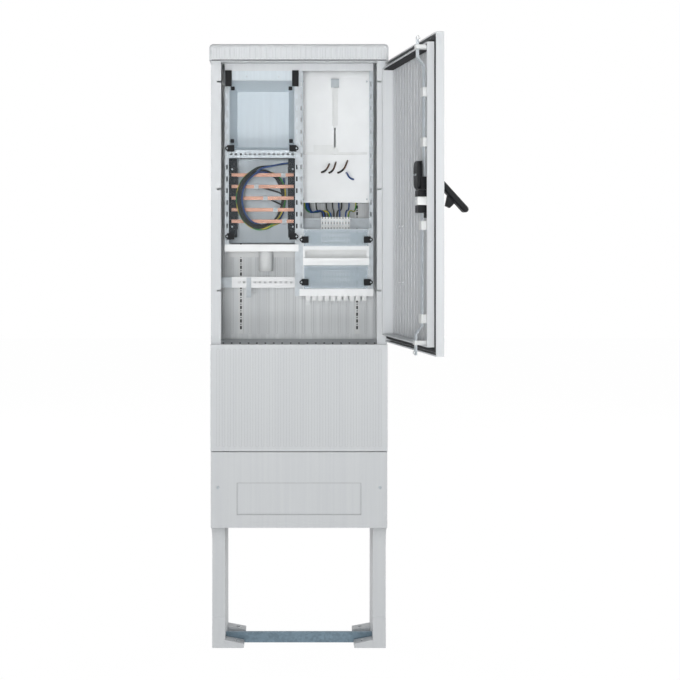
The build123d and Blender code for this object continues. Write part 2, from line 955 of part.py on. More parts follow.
# Lever, in its own frame: x along the lever from the pivot, y square to it towards the door
lever_angle = radians(lever_out_angle)
lever_dir = out_of_door * sin(lever_angle) + Vector(0, 0, -1) * cos(lever_angle)
pivot_point = Vector(hinge_x, hinge_y, rotor_level) + along_door * lock_s + out_of_door * pivot_n
lever_plane = Plane(origin=pivot_point, x_dir=lever_dir, z_dir=-along_door)
lever_half = lever_thickness / 2
with BuildPart(lever_plane) as handle_lever:
    with BuildSketch(lever_plane.offset(-lever_width / 2)):
        grip_run = lever_length - lever_half
        with Locations((grip_run / 2, 0)):
            SlotCenterToCenter(grip_run, lever_thickness)
    extrude(amount=lever_width)
    along_lever = Axis(pivot_point, lever_dir)
    chamfer(handle_lever.edges().filter_by(GeomType.CIRCLE).sort_by(along_lever)[-2:], lever_grip_chamfer)
    with BuildSketch(lever_plane.offset(-nose_width / 2)):
        with BuildLine():
            Polyline(
                (nose_start, 0),
                (nose_end, 0),
                (nose_end, lever_half + nose_tip_depth),
                (nose_tip_start, lever_half + nose_depth),
                close=True,
            )
        make_face()
    extrude(amount=nose_width)
    slot_half = lug_width / 2 + lever_slot_gap
    block(
        (-lever_thickness, lug_radius + lever_half + lever_slot_gap),
        (-lever_thickness, lever_thickness),
        (-slot_half, slot_half),
        mode=Mode.SUBTRACT,
    )
    rod((0, 0, -lever_width / 2), (0, 0, 1), lever_pin_radius, lever_width)
save(handle_lever, "handle_lever")

# Lock rods: a slotted head on a drive pin, a flat shank and a cranked tip that clears the door's rim
upper_tip = cross_rail_bottom - rod_tip_margin - wall
lower_tip = lower_panel_top + rod_tip_margin + wall
rod_names = ((1, upper_tip, "upper_rod"), (-1, lower_tip, "lower_rod"))
for turn, tip, name in rod_names:
    head_s = lock_s + turn * drive_pin_offset
    head_z = rotor_level - turn * drive_pin_offset
    crank_end = tip - turn * rod_crank_margin
    crank_start = crank_end - turn * rod_crank_rise
    with BuildPart(door_plane) as lock_rod:
        with BuildSketch(
            Plane(door_plane.from_local_coords(Vector(head_s - rod_width / 2, 0, 0)), out_of_door, along_door)
        ):
            with BuildLine():
                Polyline(
                    (rod_n_back, head_z),
                    (rod_n_back, crank_start),
                    (rod_n_back - rod_crank_offset, crank_end),
                    (rod_n_back - rod_crank_offset, tip),
                    (rod_n_front - rod_crank_offset, tip),
                    (rod_n_front - rod_crank_offset, crank_end),
                    (rod_n_front, crank_start),
                    (rod_n_front, head_z),
                    close=True,
                )
            make_face()
        extrude(amount=rod_width)
        block(
            sorted((head_s - turn * rod_width / 2, head_s + turn * rod_head_side)),
            (rod_n_front, rod_n_back),
            (head_z - rod_head_height / 2, head_z + rod_head_height / 2),
        )
        pin_path = drive_pin_radius + pin_slot_gap
        pin_sweep = hypot(drive_pin_offset, drive_pin_offset) - drive_pin_offset
        block(
            sorted((head_s - turn * pin_path, head_s + turn * (pin_sweep + pin_path))),
            (rod_n_front - overrun, rod_n_back + overrun),
            (head_z - pin_path, head_z + pin_path),
            mode=Mode.SUBTRACT,
        )
    save(lock_rod, name)

# Lock case: a bridge over the cam with a hooked upper end, standing on the door panel
case_half = case_width / 2
case_n = rod_n_front - drive_pin_length - rod_gap
case_bottom = rotor_level - cam_radius
case_top = case_bottom + case_height
with BuildPart(door_plane) as lock_case:
    with BuildSketch(door_face.offset(-case_n)):
        with BuildLine():
            Polyline(
                (lock_s + case_half, case_bottom),
                (lock_s - case_half, case_bottom),
                (lock_s - case_half, rotor_level + cam_radius),
            )
            ThreePointArc(
                (lock_s - case_half, rotor_level + cam_radius),
                (lock_s - case_half / 2, case_top - case_hook / 2),
                (lock_s, case_top),
            )
            Polyline(
                (lock_s, case_top),
                (lock_s + case_half, case_top),
                (lock_s + case_half, case_bottom),
            )
        make_face()
    extrude(amount=case_wall)
    for edge in (lock_s - case_half, lock_s + case_half - case_wall):
        block(
            (edge, edge + case_wall),
            (case_n - case_wall, door_panel),
            (case_bottom, rotor_level + cam_radius),
        )
    block(
        (lock_s - lock_ward_width / 2, lock_s + lock_ward_width / 2),
        (case_n - case_wall - overrun, case_n + overrun),
        (rotor_level - drive_pin_offset, rotor_level + drive_pin_offset),
        mode=Mode.SUBTRACT,
    )
save(lock_case, "lock_case")

# Pale lock insert on the back of the pocket
with BuildPart(door_plane) as lock_insert:
    insert_z = (pocket_top + pocket_bottom) / 2
    block(
        (lock_s - lock_ward_width / 2, lock_s + lock_ward_width / 2),
        (pocket_floor - lock_ward_depth, pocket_floor),
        (insert_z - lock_ward_height / 2, insert_z + lock_ward_height / 2),
    )
    chamfer(lock_insert.edges().filter_by(Axis.Z), lock_ward_chamfer)
save(lock_insert, "lock_insert")

# Guides that keep the rods on the door: four along the shanks and one inside the rim at each cranked tip
def rod_guide(turn, width, z, set_in):
    """Add a post on the door panel with a window round a rod, which lies deeper where it is set in."""
    guide_s = lock_s + turn * drive_pin_offset
    window = rod_width / 2 + rod_gap
    window_front = rod_n_front - set_in - rod_gap
    block((guide_s - width / 2, guide_s + width / 2), (window_front - guide_wall, door_panel), z)
    block(
        (guide_s - window, guide_s + window),
        (window_front, rod_n_back - set_in + rod_gap),
        (z[0] - overrun, z[1] + overrun),
        mode=Mode.SUBTRACT,
    )


with BuildPart(door_plane) as rod_guides:
    for offset_z in guide_levels_from_rotor:
        level = rotor_level + offset_z
        guide_z = (level - guide_height / 2, level + guide_height / 2)
        rod_guide(1 if offset_z > 0 else -1, guide_width, guide_z, 0)
    inner_top = rim_top - rim_wall
    inner_bottom = rim_bottom + rim_wall
    rod_guide(1, end_guide_width, (inner_top - end_guide_height, inner_top), rod_crank_offset)
    rod_guide(-1, end_guide_width, (inner_bottom, inner_bottom + end_guide_height), rod_crank_offset)
save(rod_guides, "rod_guides")

# Slotted mounting rails on the rear wall, with the carrier bars welded across them
with BuildPart() as rear_mounting_rails:
    rail_bottom = lower_panel_top + rail_bottom_lift
    rail_front_y = rear_inner_y - rail_depth
    for centre in (-rail_x, rail_x):
        with BuildSketch(Plane.XY.offset(rail_bottom)):
            with BuildLine():
                Polyline(
                    (centre - rail_width / 2, rear_inner_y),
                    (centre - rail_width / 2, rail_front_y),
                    (centre + rail_width / 2, rail_front_y),
                    (centre + rail_width / 2, rear_inner_y),
                    (centre + rail_width / 2 - rail_wall, rear_inner_y),
                    (centre + rail_width / 2 - rail_wall, rail_front_y + rail_wall),
                    (centre - rail_width / 2 + rail_wall, rail_front_y + rail_wall),
                    (centre - rail_width / 2 + rail_wall, rear_inner_y),
                    close=True,
                )
            make_face()
        extrude(amount=bay_top - rail_bottom)
    slots(
        Plane.XZ.offset(-rail_front_y),
        (-rail_x, rail_x),
        spread(rail_bottom + rail_slot_height, bay_top - rail_slot_height, rail_slot_pitch),
        rail_slot_width,
        rail_slot_height,
        rail_wall + overrun,
    )
    for drop in carrier_drops:
        block(
            (-bay_half, bay_half),
            (upright_back_y, rail_front_y),
            (bay_top - drop - carrier_height, bay_top - drop),
        )
save(rear_mounting_rails, "rear_mounting_rails")

# Folded uprights beside and between the two columns, with slotted front flanges
with BuildPart() as module_uprights:
    for side, bottom in ((-1, left_upright_bottom), (1, right_upright_bottom)):
        with BuildSketch(Plane.XY.offset(bottom)):
            with BuildLine():
                Polyline(
                    (side * bay_half, upright_back_y),
                    (side * bay_half, upright_front_y),
                    (side * flange_inner_x, upright_front_y),
                    (side * flange_inner_x, frame_back_y),
                    (side * (bay_half - sheet), frame_back_y),
                    (side * (bay_half - sheet), upright_back_y),
                    close=True,
                )
            make_face()
        extrude(amount=bay_top - bottom)
    block(
        (-centre_half, centre_half),
        (frame_back_y, upright_back_y),
        (right_upright_bottom, bay_top),
    )
    block(
        (-centre_flange_x, centre_flange_x),
        (upright_front_y, frame_back_y),
        (right_upright_bottom, bay_top),
    )
    flange_middle = (centre_half + centre_flange_x) / 2
    slots(
        Plane.XZ.offset(-upright_front_y),
        (left_x + upright_flange / 2, -flange_middle, flange_middle, right_x - upright_flange / 2),
        spread(left_upright_bottom + hole_pitch, bay_top - hole_pitch, hole_pitch),
        hole_width,
        hole_height,
        sheet + overrun,
    )
save(module_uprights, "module_uprights")

# Left column, upper tray: a drawn box with sloping sides and a flat rim behind the upright flanges
with BuildPart() as upper_box:
    box_left = left_x + tray_box_side
    box_right = -centre_half - tray_box_side
    with BuildSketch(Plane.XZ.offset(-frame_back_y)):
        with Locations(((box_left + box_right) / 2, (tray_box_top + tray_box_bottom) / 2)):
            Rectangle(box_right - box_left, tray_box_height)
    extrude(amount=-tray_box_depth, taper=tray_box_taper)
    offset(amount=-sheet, openings=upper_box.faces().sort_by(Axis.Y)[0])
    with BuildSketch(Plane.XZ.offset(-frame_back_y)):
        with Locations(((left_x - centre_half) / 2, (bay_top + tray_box_bottom - tray_lip) / 2)):
            Rectangle(-centre_half - left_x, bay_top - tray_box_bottom + tray_lip)
        with Locations(((box_left + box_right) / 2, (tray_box_top + tray_box_bottom) / 2)):
            Rectangle(box_right - box_left - 2 * sheet, tray_box_height - 2 * sheet, mode=Mode.SUBTRACT)
    extrude(amount=-sheet)
    vent_pitch = (box_right - box_left) / vent_count
    slots(
        Plane.XZ.offset(-frame_back_y),
        [box_left + vent_pitch / 2 + vent_pitch * step for step in range(vent_count)],
        [tray_box_bottom - tray_lip / 2],
        vent_width,
        vent_height,
        sheet + overrun,
    )
save(upper_box, "upper_box")


def clear_cover(x, z):
    """Add a shallow clear hood between two values on X and Z, its edges standing on the frame behind it."""
    block(x, (cover_front_y, frame_back_y), z)
    block(
        (x[0] + cover_sheet, x[1] - cover_sheet),
        (cover_front_y + cover_sheet, frame_back_y + overrun),
        (z[0] + cover_sheet, z[1] - cover_sheet),
        mode=Mode.SUBTRACT,
    )


left_cover_x = (left_x + upright_flange + cover_margin, -centre_flange_x - cover_margin)
right_cover_x = (centre_flange_x + cover_margin, right_x - upright_flange - cover_margin)
with BuildPart() as left_clear_covers:
    clear_cover(left_cover_x, (tray_box_bottom - latch_radius, tray_box_top))
    clear_cover(left_cover_x, (busbar_bay_bottom, busbar_bay_top))
save(left_clear_covers, "left_clear_covers")

# Black brackets at the cover's upper corners and the pads below them
with BuildPart() as cover_brackets:
    for edge, inward in ((left_x, 1), (-centre_half, -1)):
        bracket_x = sorted((edge, edge + inward * cover_bracket_width))
        block(
            bracket_x,
            (upright_front_y - cover_bracket_depth, upright_front_y),
            (tray_box_top, bay_top),
        )
        block(
            bracket_x,
            (upright_front_y - cover_bracket_depth, cover_front_y),
            (tray_box_top - cover_bracket_reach, tray_box_top),
        )
    fillet(cover_brackets.edges().filter_by(Axis.Z).group_by(Axis.Y)[0], cover_bracket_radius)
save(cover_brackets, "cover_brackets")

# Left column, busbar compartment: base tray, black comb holders, five copper bars and their clamps
with BuildPart() as busbar_base:
    with BuildSketch(Plane.YZ.offset(left_x)):
        lip_y = busbar_base_y - busbar_lip
        with BuildLine():
            Polyline(
                (lip_y, busbar_bay_bottom),
                (busbar_base_y + sheet, busbar_bay_bottom),
                (busbar_base_y + sheet, busbar_bay_top),
                (lip_y, busbar_bay_top),
                (lip_y, busbar_bay_top - sheet),
                (busbar_base_y, busbar_bay_top - sheet),
                (busbar_base_y, busbar_bay_bottom + sheet),
                (lip_y, busbar_bay_bottom + sheet),
                close=True,
            )
        make_face()
    extrude(amount=-centre_half - left_x)
save(busbar_base, "busbar_base")

holder_spans = (
    (holder_outer_x, holder_outer_x + holder_width),
    (-centre_half - holder_inset - holder_width, -centre_half - holder_inset),
)
bar_front_y = busbar_y - busbar_thick / 2
bar_back_y = busbar_y + busbar_thick / 2
with BuildPart() as busbar_holders:
    for span in holder_spans:
        block(
            span,
            (bar_front_y - holder_grip, busbar_base_y),
            (bar_levels[-1] - busbar_tall - holder_margin, bar_levels[0] + busbar_tall + holder_margin),
        )
        for level in bar_levels:
            block(
                (span[0] - overrun, span[1] + overrun),
                (bar_front_y - holder_grip - overrun, bar_back_y),
                (level - busbar_tall / 2, level + busbar_tall / 2 + running_gap),
                mode=Mode.SUBTRACT,
            )
save(busbar_holders, "busbar_holders")

bar_span = (holder_outer_x + busbar_end_gap, -centre_half - holder_inset - busbar_end_gap)
with BuildPart() as busbars:
    for level in bar_levels:
        block(
            bar_span,
            (bar_front_y, bar_back_y),
            (level - busbar_tall / 2, level + busbar_tall / 2),
        )
save(busbars, "busbars")

clamp_near_x = -centre_half - holder_inset - holder_width - clamp_width / 2
clamp_far_x = holder_outer_x + holder_width + clamp_width / 2
with BuildPart() as busbar_clamps:
    for level, share in zip(bar_levels, clamp_x_shares):
        clamp_x = clamp_near_x + share * (clamp_far_x - clamp_near_x)
        block(
            (clamp_x - clamp_width / 2, clamp_x + clamp_width / 2),
            (bar_front_y - clamp_depth, bar_front_y),
            (level - clamp_height / 2, level + clamp_height / 2),
        )
    chamfer(busbar_clamps.edges().filter_by(Axis.X).group_by(Axis.Y)[0], clamp_chamfer)
save(busbar_clamps, "busbar_clamps")

# Coil of spare conductors hung over the top bar, before the bars on the left and behind them on the right
coil_turn = radians(coil_tilt)
coil_span = (holder_spans[0][1], holder_spans[1][0] - coil_side_gap)
coil_reach = (coil_span[1] - coil_span[0] - coil_thickness * sin(coil_turn)) / 2
coil_half_width = coil_reach / cos(coil_turn) - coil_ring
coil_x = (coil_span[0] + coil_span[1]) / 2
coil_z = bar_levels[0] + busbar_tall / 2 + coil_hang_gap - coil_half_height
coil_plane = Plane(
    origin=(coil_x, busbar_y, coil_z),
    x_dir=(cos(coil_turn), sin(coil_turn), 0),
    z_dir=(sin(coil_turn), -cos(coil_turn), 0),
)
with BuildPart() as conductor_coil:
    with BuildSketch(coil_plane.offset(-coil_thickness / 2)):
        Ellipse(coil_half_width + coil_ring, coil_half_height + coil_ring)
        Ellipse(coil_half_width, coil_half_height, mode=Mode.SUBTRACT)
    extrude(amount=coil_thickness)
save(conductor_coil, "conductor_coil")


def shelf(top, lip_x, plate_x):
    """Add a folded shelf: a plate between the flanges and a front lip that passes before them."""
    block(plate_x, (upright_front_y, shelf_back_y), (top - sheet, top))
    block(lip_x, (upright_front_y - shelf_lip, upright_front_y), (top - shelf_height, top))
    block(
        plate_x,
        (shelf_back_y - sheet, shelf_back_y),
        (top - shelf_height, top),
    )


with BuildPart() as module_shelves:
    shelf(left_shelf_top, (-bay_half, -centre_half), (-flange_inner_x, -centre_flange_x))
    shelf(right_shelf_top, (centre_half, bay_half), (centre_flange_x, flange_inner_x))
save(module_shelves, "module_shelves")

# Cable space: a sleeve under the left shelf, the clamp rail and a hanging clamp
with BuildPart() as cable_sleeve:
    sleeve_top = left_shelf_top - sheet
    with BuildSketch(Plane.XY.offset(sleeve_top - sleeve_height)):
        with Locations((sleeve_x, sleeve_y)):
            Circle(sleeve_radius)
            Circle(sleeve_radius - sleeve_wall, mode=Mode.SUBTRACT)
    extrude(amount=sleeve_height)
save(cable_sleeve, "cable_sleeve")

clamp_rail_top = left_upright_bottom - clamp_rail_drop
clamp_rail_bottom = clamp_rail_top - clamp_rail_height
with BuildPart() as cable_clamp_rail:
    with BuildSketch(Plane.YZ.offset(clamp_rail_left_x)):
        rail_back = clamp_rail_y + clamp_rail_depth
        with BuildLine():
            Polyline(
                (clamp_rail_y, clamp_rail_bottom),
                (rail_back, clamp_rail_bottom),
                (rail_back, clamp_rail_bottom + sheet),
                (clamp_rail_y + sheet, clamp_rail_bottom + sheet),
                (clamp_rail_y + sheet, clamp_rail_top - sheet),
                (rail_back, clamp_rail_top - sheet),
                (rail_back, clamp_rail_top),
                (clamp_rail_y, clamp_rail_top),
                close=True,
            )
        make_face()
    extrude(amount=-centre_half - clamp_rail_left_x)
    slots(
        Plane.XZ.offset(-clamp_rail_y),
        spread(clamp_rail_left_x + clamp_slot_pitch, -centre_half - clamp_slot_pitch, clamp_slot_pitch),
        [(clamp_rail_bottom + clamp_rail_top) / 2],
        clamp_slot_width,
        clamp_slot_height,
        sheet + overrun,
    )
save(cable_clamp_rail, "cable_clamp_rail")

with BuildPart() as clamp_rail_bracket:
    block(
        (-web_inner, clamp_rail_left_x),
        (clamp_rail_y, rail_back),
        (clamp_rail_bottom, clamp_rail_top),
    )
    fillet(clamp_rail_bracket.edges().filter_by(Axis.X), sheet)
save(clamp_rail_bracket, "clamp_rail_bracket")

with BuildPart() as hanging_clamp:
    hanger_front = clamp_rail_y - hanger_thickness
    block(
        (hanger_x - hanger_width / 2, hanger_x + hanger_width / 2),
        (hanger_front, clamp_rail_y),
        (clamp_rail_top - hanger_length, clamp_rail_top - sheet),
    )
    block(
        (hanger_x - hanger_width / 2, hanger_x + hanger_width / 2),
        (hanger_front - hanger_hook, hanger_front),
        (clamp_rail_top - hanger_length, clamp_rail_top - hanger_length + hanger_thickness),
    )
    bolt_z = (clamp_rail_top - hanger_length + clamp_rail_bottom) / 2
    rod((hanger_x, hanger_front, bolt_z), (0, -1, 0), hanger_bolt_radius, hanger_bolt_length)
save(hanging_clamp, "hanging_clamp")

# Right column, meter panel: a folded plate with a slot for the cross's stud
with BuildPart() as meter_panel:
    with BuildSketch(Plane.YZ.offset(centre_half)):
        panel_back = meter_panel_y + meter_flange
        with BuildLine():
            Polyline(
                (meter_panel_y, meter_panel_bottom),
                (panel_back, meter_panel_bottom),
                (panel_back, meter_panel_bottom + sheet),
                (meter_panel_y + sheet, meter_panel_bottom + sheet),
                (meter_panel_y + sheet, meter_panel_top - sheet),
                (panel_back, meter_panel_top - sheet),
                (panel_back, meter_panel_top),
                (meter_panel_y, meter_panel_top),
                close=True,
            )
        make_face()
    extrude(amount=right_x - centre_half)
    slot_low = crossbar_z + hub_rise - 2 * hub_stud_radius
    slots(
        Plane.XZ.offset(-meter_panel_y),
        [meter_rail_x],
        [slot_low + cross_slot_length / 2],
        cross_slot_width,
        cross_slot_length,
        sheet + overrun,
    )
save(meter_panel, "meter_panel")

# Meter rail: a lipped channel with a pointed lower end
with BuildPart() as meter_rail:
    rail_half = meter_rail_width / 2
    rail_face = meter_panel_y - meter_rail_depth
    with BuildSketch(Plane.XY.offset(meter_rail_top - meter_rail_length)):
        with BuildLine():
            Polyline(
                (meter_rail_x - rail_half, meter_panel_y),
                (meter_rail_x + rail_half, meter_panel_y),
                (meter_rail_x + rail_half, rail_face),
                (meter_rail_x + rail_half - meter_rail_lip, rail_face),
                (meter_rail_x + rail_half - meter_rail_lip, rail_face + meter_rail_wall),
                (meter_rail_x + rail_half - meter_rail_wall, rail_face + meter_rail_wall),
                (meter_rail_x + rail_half - meter_rail_wall, meter_panel_y - meter_rail_wall),
                (meter_rail_x - rail_half + meter_rail_wall, meter_panel_y - meter_rail_wall),
                (meter_rail_x - rail_half + meter_rail_wall, rail_face + meter_rail_wall),
                (meter_rail_x - rail_half + meter_rail_lip, rail_face + meter_rail_wall),
                (meter_rail_x - rail_half + meter_rail_lip, rail_face),
                (meter_rail_x - rail_half, rail_face),
                close=True,
            )
        make_face()
    extrude(amount=meter_rail_length)
    with BuildSketch(Plane.XZ.offset(-rail_face + overrun)):
        point_z = meter_rail_top - meter_rail_length
        for side in (-1, 1):
            with BuildLine():
                Polyline(
                    (meter_rail_x + side * overrun, point_z - overrun),
                    (meter_rail_x + side * (rail_half + overrun), point_z - overrun),
                    (meter_rail_x + side * (rail_half + overrun), point_z + rail_half),
                    close=True,
                )
            make_face()
    extrude(amount=-(meter_rail_depth + 2 * overrun), mode=Mode.SUBTRACT)
save(meter_rail, "meter_rail")

# Meter hook that slides in the rail
with BuildPart() as meter_hook:
    hook_back = rail_face - running_gap
    hook_z = (meter_rail_top - meter_hook_height, meter_rail_top)
    block(
        (meter_rail_x - meter_hook_width / 2, meter_rail_x + meter_hook_width / 2),
        (hook_back - meter_hook_depth, hook_back),
        hook_z,
    )
    chamfer(meter_hook.edges().filter_by(Axis.X).group_by(Axis.Y)[0], meter_hook_chamfer)
    block(
        (meter_rail_x - meter_hook_tongue / 2, meter_rail_x + meter_hook_tongue / 2),
        (hook_back, meter_panel_y - meter_rail_wall - running_gap),
        hook_z,
    )
save(meter_hook, "meter_hook")

# Meter crossbar: two arms on a hub whose stud slides in the panel's slot, with a bare plate beside it
with BuildPart() as meter_crossbar:
    bar_back = meter_panel_y - running_gap
    bar_front = bar_back - crossbar_depth
    block(
        (centre_half + crossbar_margin, right_x - crossbar_margin),
        (bar_front, bar_back),
        (crossbar_z, crossbar_z + crossbar_height),
    )
    hub_z = crossbar_z + hub_rise
    rod((meter_rail_x, bar_front - crossbar_depth, hub_z), (0, 1, 0), hub_radius, 2 * crossbar_depth)
    block(
        (meter_rail_x - hub_plate_width - hub_radius, meter_rail_x - hub_radius / 2),
        (bar_front, bar_back),
        (crossbar_z, crossbar_z + hub_plate_height),
    )
    rod((meter_rail_x, bar_back, hub_z), (0, 1, 0), hub_stud_radius, meter_flange / 2)
save(meter_crossbar, "meter_crossbar")

# Terminal row on its top-hat rail, with two more rails behind the clear row covers
row_levels = [
    terminal_top - terminal_height / 2,
    row_upper_top - row_cover_upper_height / 2,
    row_lower_top - row_cover_lower_height / 2,
]
with BuildPart() as din_rails:
    for level in row_levels:
        with BuildSketch(Plane.YZ.offset(centre_half)):
            brim = din_height / 2 - din_brim
            with BuildLine():
                Polyline(
                    (terminal_back_y, level - din_height / 2),
                    (terminal_back_y, level - brim),
                    (terminal_back_y + din_depth, level - brim),
                    (terminal_back_y + din_depth, level + brim),
                    (terminal_back_y, level + brim),
                    (terminal_back_y, level + din_height / 2),
                    (terminal_back_y + din_wall, level + din_height / 2),
                    (terminal_back_y + din_wall, level + brim + din_wall),
                    (terminal_back_y + din_depth + din_wall, level + brim + din_wall),
                    (terminal_back_y + din_depth + din_wall, level - brim - din_wall),
                    (terminal_back_y + din_wall, level - brim - din_wall),
                    (terminal_back_y + din_wall, level - din_height / 2),
                    close=True,
                )
            make_face()
        extrude(amount=right_x - centre_half)
save(din_rails, "din_rails")

with BuildPart() as terminal_blocks:
    terminal_front_y = terminal_back_y - terminal_depth
    for level in row_levels:
        for step in range(terminal_count):
            low_x = terminal_x + terminal_pitch * step
            block(
                (low_x, low_x + terminal_pitch - terminal_gap),
                (terminal_front_y, terminal_back_y),
                (level - terminal_height / 2, level + terminal_height / 2),
            )
    for level in row_levels:
        for lift in (terminal_step, -terminal_step):
            block(
                (terminal_x - overrun, terminal_x + terminal_pitch * terminal_count),
                (terminal_front_y - overrun, terminal_front_y + terminal_well_depth),
                (level + lift - terminal_well / 2, level + lift + terminal_well / 2),
                mode=Mode.SUBTRACT,
            )
save(terminal_blocks, "terminal_blocks")

# Row frame: a plate with a window behind each clear cover, a gap between them and the slotted bar across it
with BuildPart() as row_frame:
    block((centre_half, right_x), (frame_back_y, frame_back_y + sheet), (right_shelf_top, row_frame_top))
    row_windows = (
        (row_upper_top - row_cover_upper_height + window_margin, row_upper_top - window_margin),
        (row_bar_top, row_upper_top - row_cover_upper_height - row_gap_margin),
        (row_lower_top - row_cover_lower_height + window_margin, row_lower_top - window_margin),
    )
    for window in row_windows:
        block(
            (right_cover_x[0] + window_margin, right_cover_x[1] - window_margin),
            (frame_back_y - overrun, frame_back_y + sheet + overrun),
            window,
            mode=Mode.SUBTRACT,
        )
    block(
        (centre_flange_x, flange_inner_x),
        (frame_back_y - row_bar_depth, frame_back_y),
        (row_bar_top - row_bar_height, row_bar_top),
    )
    slots(
        Plane.XZ.offset(row_bar_depth - frame_back_y),
        spread(centre_flange_x + row_bar_pitch, flange_inner_x - row_bar_pitch, row_bar_pitch),
        [row_bar_top - row_bar_height / 2],
        row_bar_slot_width,
        row_bar_slot_height,
        row_bar_depth / 2,
    )
save(row_frame, "row_frame")

with BuildPart() as row_clear_covers:
    clear_cover(right_cover_x, (row_upper_top - row_cover_upper_height, row_upper_top))
    clear_cover(right_cover_x, (row_lower_top - row_cover_lower_height, row_lower_top))
save(row_clear_covers, "row_clear_covers")

# Outlet terminals hanging under the right shelf
with BuildPart() as outlet_terminals:
    outlet_pitch = (flange_inner_x - centre_flange_x - 2 * outlet_margin) / outlet_count
    outlet_start = centre_flange_x + outlet_margin + outlet_pitch / 2
    for step in range(outlet_count):
        outlet_x = outlet_start + outlet_pitch * step
        block(
            (outlet_x - outlet_width / 2, outlet_x + outlet_width / 2),
            (upright_front_y + sheet, upright_front_y + sheet + outlet_depth),
            (right_shelf_top - sheet - outlet_height, right_shelf_top - sheet),
        )
save(outlet_terminals, "outlet_terminals")

# Quarter-turn latches: a round foot on the upright's flange and an arm that lies over the cover's edge
latches = (
    ("upper_latch_left", latch_x, 1, upper_latch_z),
    ("upper_latch_right", -centre_latch_x, -1, upper_latch_z),
    ("busbar_latch_left", latch_x, 1, busbar_latch_z),
    ("busbar_latch_right", -centre_latch_x, -1, busbar_latch_z),
    ("row_upper_latch_left", centre_latch_x, 1, row_upper_latch_z),
    ("row_upper_latch_right", -latch_x, -1, row_upper_latch_z),
    ("row_lower_latch_left", centre_latch_x, 1, row_lower_latch_z),
    ("row_lower_latch_right", -latch_x, -1, row_lower_latch_z),
)
for name, x, inward, level in latches:
    with BuildPart() as latch:
        arm_back = cover_front_y - latch_arm_gap
        arm_front = arm_back - latch_arm_thickness
        rod((x, arm_back, level), (0, 1, 0), latch_radius, upright_front_y - arm_back)
        with BuildSketch(Plane.XZ.offset(-arm_front)):
            with Locations((x, level)):
                Circle(latch_radius)
            with Locations((x + inward * (latch_arm - latch_radius) / 2, level)):
                Rectangle(latch_arm - latch_radius, latch_arm_height)
        extrude(amount=-latch_arm_thickness)
    save(latch, name)


def bent_wire(points, radius, bend):
    """Add a wire with a many-sided section along straight runs joined by tangent arcs."""
    with BuildLine() as route:
        FilletPolyline(*points, radius=bend)
    with BuildSketch(Plane(origin=route.line @ 0, z_dir=route.line % 0)) as section:
        RegularPolygon(radius, wire_sides)
    sweep(section.sketch, path=route.line)


# Wires: stiff lead ends standing out of the meter panel, and drops from its lower edge to the terminals
panel_span = right_x - centre_half
lead_drop = crossbar_z - meter_panel_bottom
drop_fall = meter_panel_bottom - terminal_top
drop_start_y = meter_panel_y + meter_flange / 2
drop_end_y = terminal_back_y - terminal_depth / 2
for name, roots in lead_root_shares.items():
    with BuildPart() as wires:
        for x_share, z_share, fall, lean in roots:
            root_x = centre_half + panel_span * x_share
            root_z = meter_panel_bottom + lead_drop * z_share
            bent_wire(
                [
                    (
                        root_x + lead_lean * lean * lean_share,
                        meter_panel_y - lead_reach * reach_share,
                        root_z - lead_fall * fall * fall_share,
                    )
                    for reach_share, fall_share, lean_share in lead_route_shares
                ],
                lead_radius,
                lead_bend,
            )
        for x_share, place in drop_start_shares[name]:
            start_x = centre_half + panel_span * x_share
            end_x = terminal_x + terminal_pitch / 2 + terminal_pitch * place
            bent_wire(
                [
                    (start_x, drop_start_y, meter_panel_bottom),
                    (start_x, drop_start_y, meter_panel_bottom - drop_fall * drop_run_shares[0]),
                    (end_x, drop_end_y, terminal_top + drop_fall * drop_run_shares[1]),
                    (end_x, drop_end_y, terminal_top),
                ],
                wire_radius,
                drop_bend,
            )
    save(wires, name)
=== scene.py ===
"""Finishes, screws, conductors and a studio for an outdoor distribution board with its door open.

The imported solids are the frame. Each operator dresses some of them or adds the small pieces that they carry.
Places are in metres, in the frame of the solids: X to the right, Y to the back, Z up, the floor at 0.
"""

import json
import math

import bmesh
import bpy
import numpy as np
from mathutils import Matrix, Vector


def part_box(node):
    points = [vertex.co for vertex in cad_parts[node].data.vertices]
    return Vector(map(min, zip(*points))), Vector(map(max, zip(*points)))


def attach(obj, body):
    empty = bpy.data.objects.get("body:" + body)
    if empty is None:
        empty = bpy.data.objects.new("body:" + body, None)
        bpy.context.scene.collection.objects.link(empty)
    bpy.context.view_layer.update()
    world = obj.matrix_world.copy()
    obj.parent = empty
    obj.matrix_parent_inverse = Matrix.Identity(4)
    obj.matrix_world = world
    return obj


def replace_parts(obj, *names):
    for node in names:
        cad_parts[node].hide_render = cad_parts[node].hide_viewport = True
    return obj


bl_info = {
    "name": "Distribution board dresser",
    "version": (1, 0, 0),
    "blender": (4, 5, 0),
    "location": "View3D > Sidebar > Board",
    "description": "Gives the packed solids of a distribution board their finishes, wires and small parts",
    "category": "Object",
}

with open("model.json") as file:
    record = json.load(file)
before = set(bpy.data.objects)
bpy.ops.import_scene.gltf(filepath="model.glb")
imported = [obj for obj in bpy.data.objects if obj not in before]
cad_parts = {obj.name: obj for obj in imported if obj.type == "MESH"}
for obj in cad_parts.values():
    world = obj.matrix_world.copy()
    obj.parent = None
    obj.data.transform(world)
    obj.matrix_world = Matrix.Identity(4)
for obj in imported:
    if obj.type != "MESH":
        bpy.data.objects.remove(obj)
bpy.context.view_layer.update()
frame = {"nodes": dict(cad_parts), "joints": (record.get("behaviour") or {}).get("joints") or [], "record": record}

MM = 0.001
UP = np.array([0.0, 0.0, 1.0])
FORWARD = np.array([0.0, -1.0, 0.0])

# Stretch of a pattern that is as wide as it is long
EVEN = (1, 1, 1)

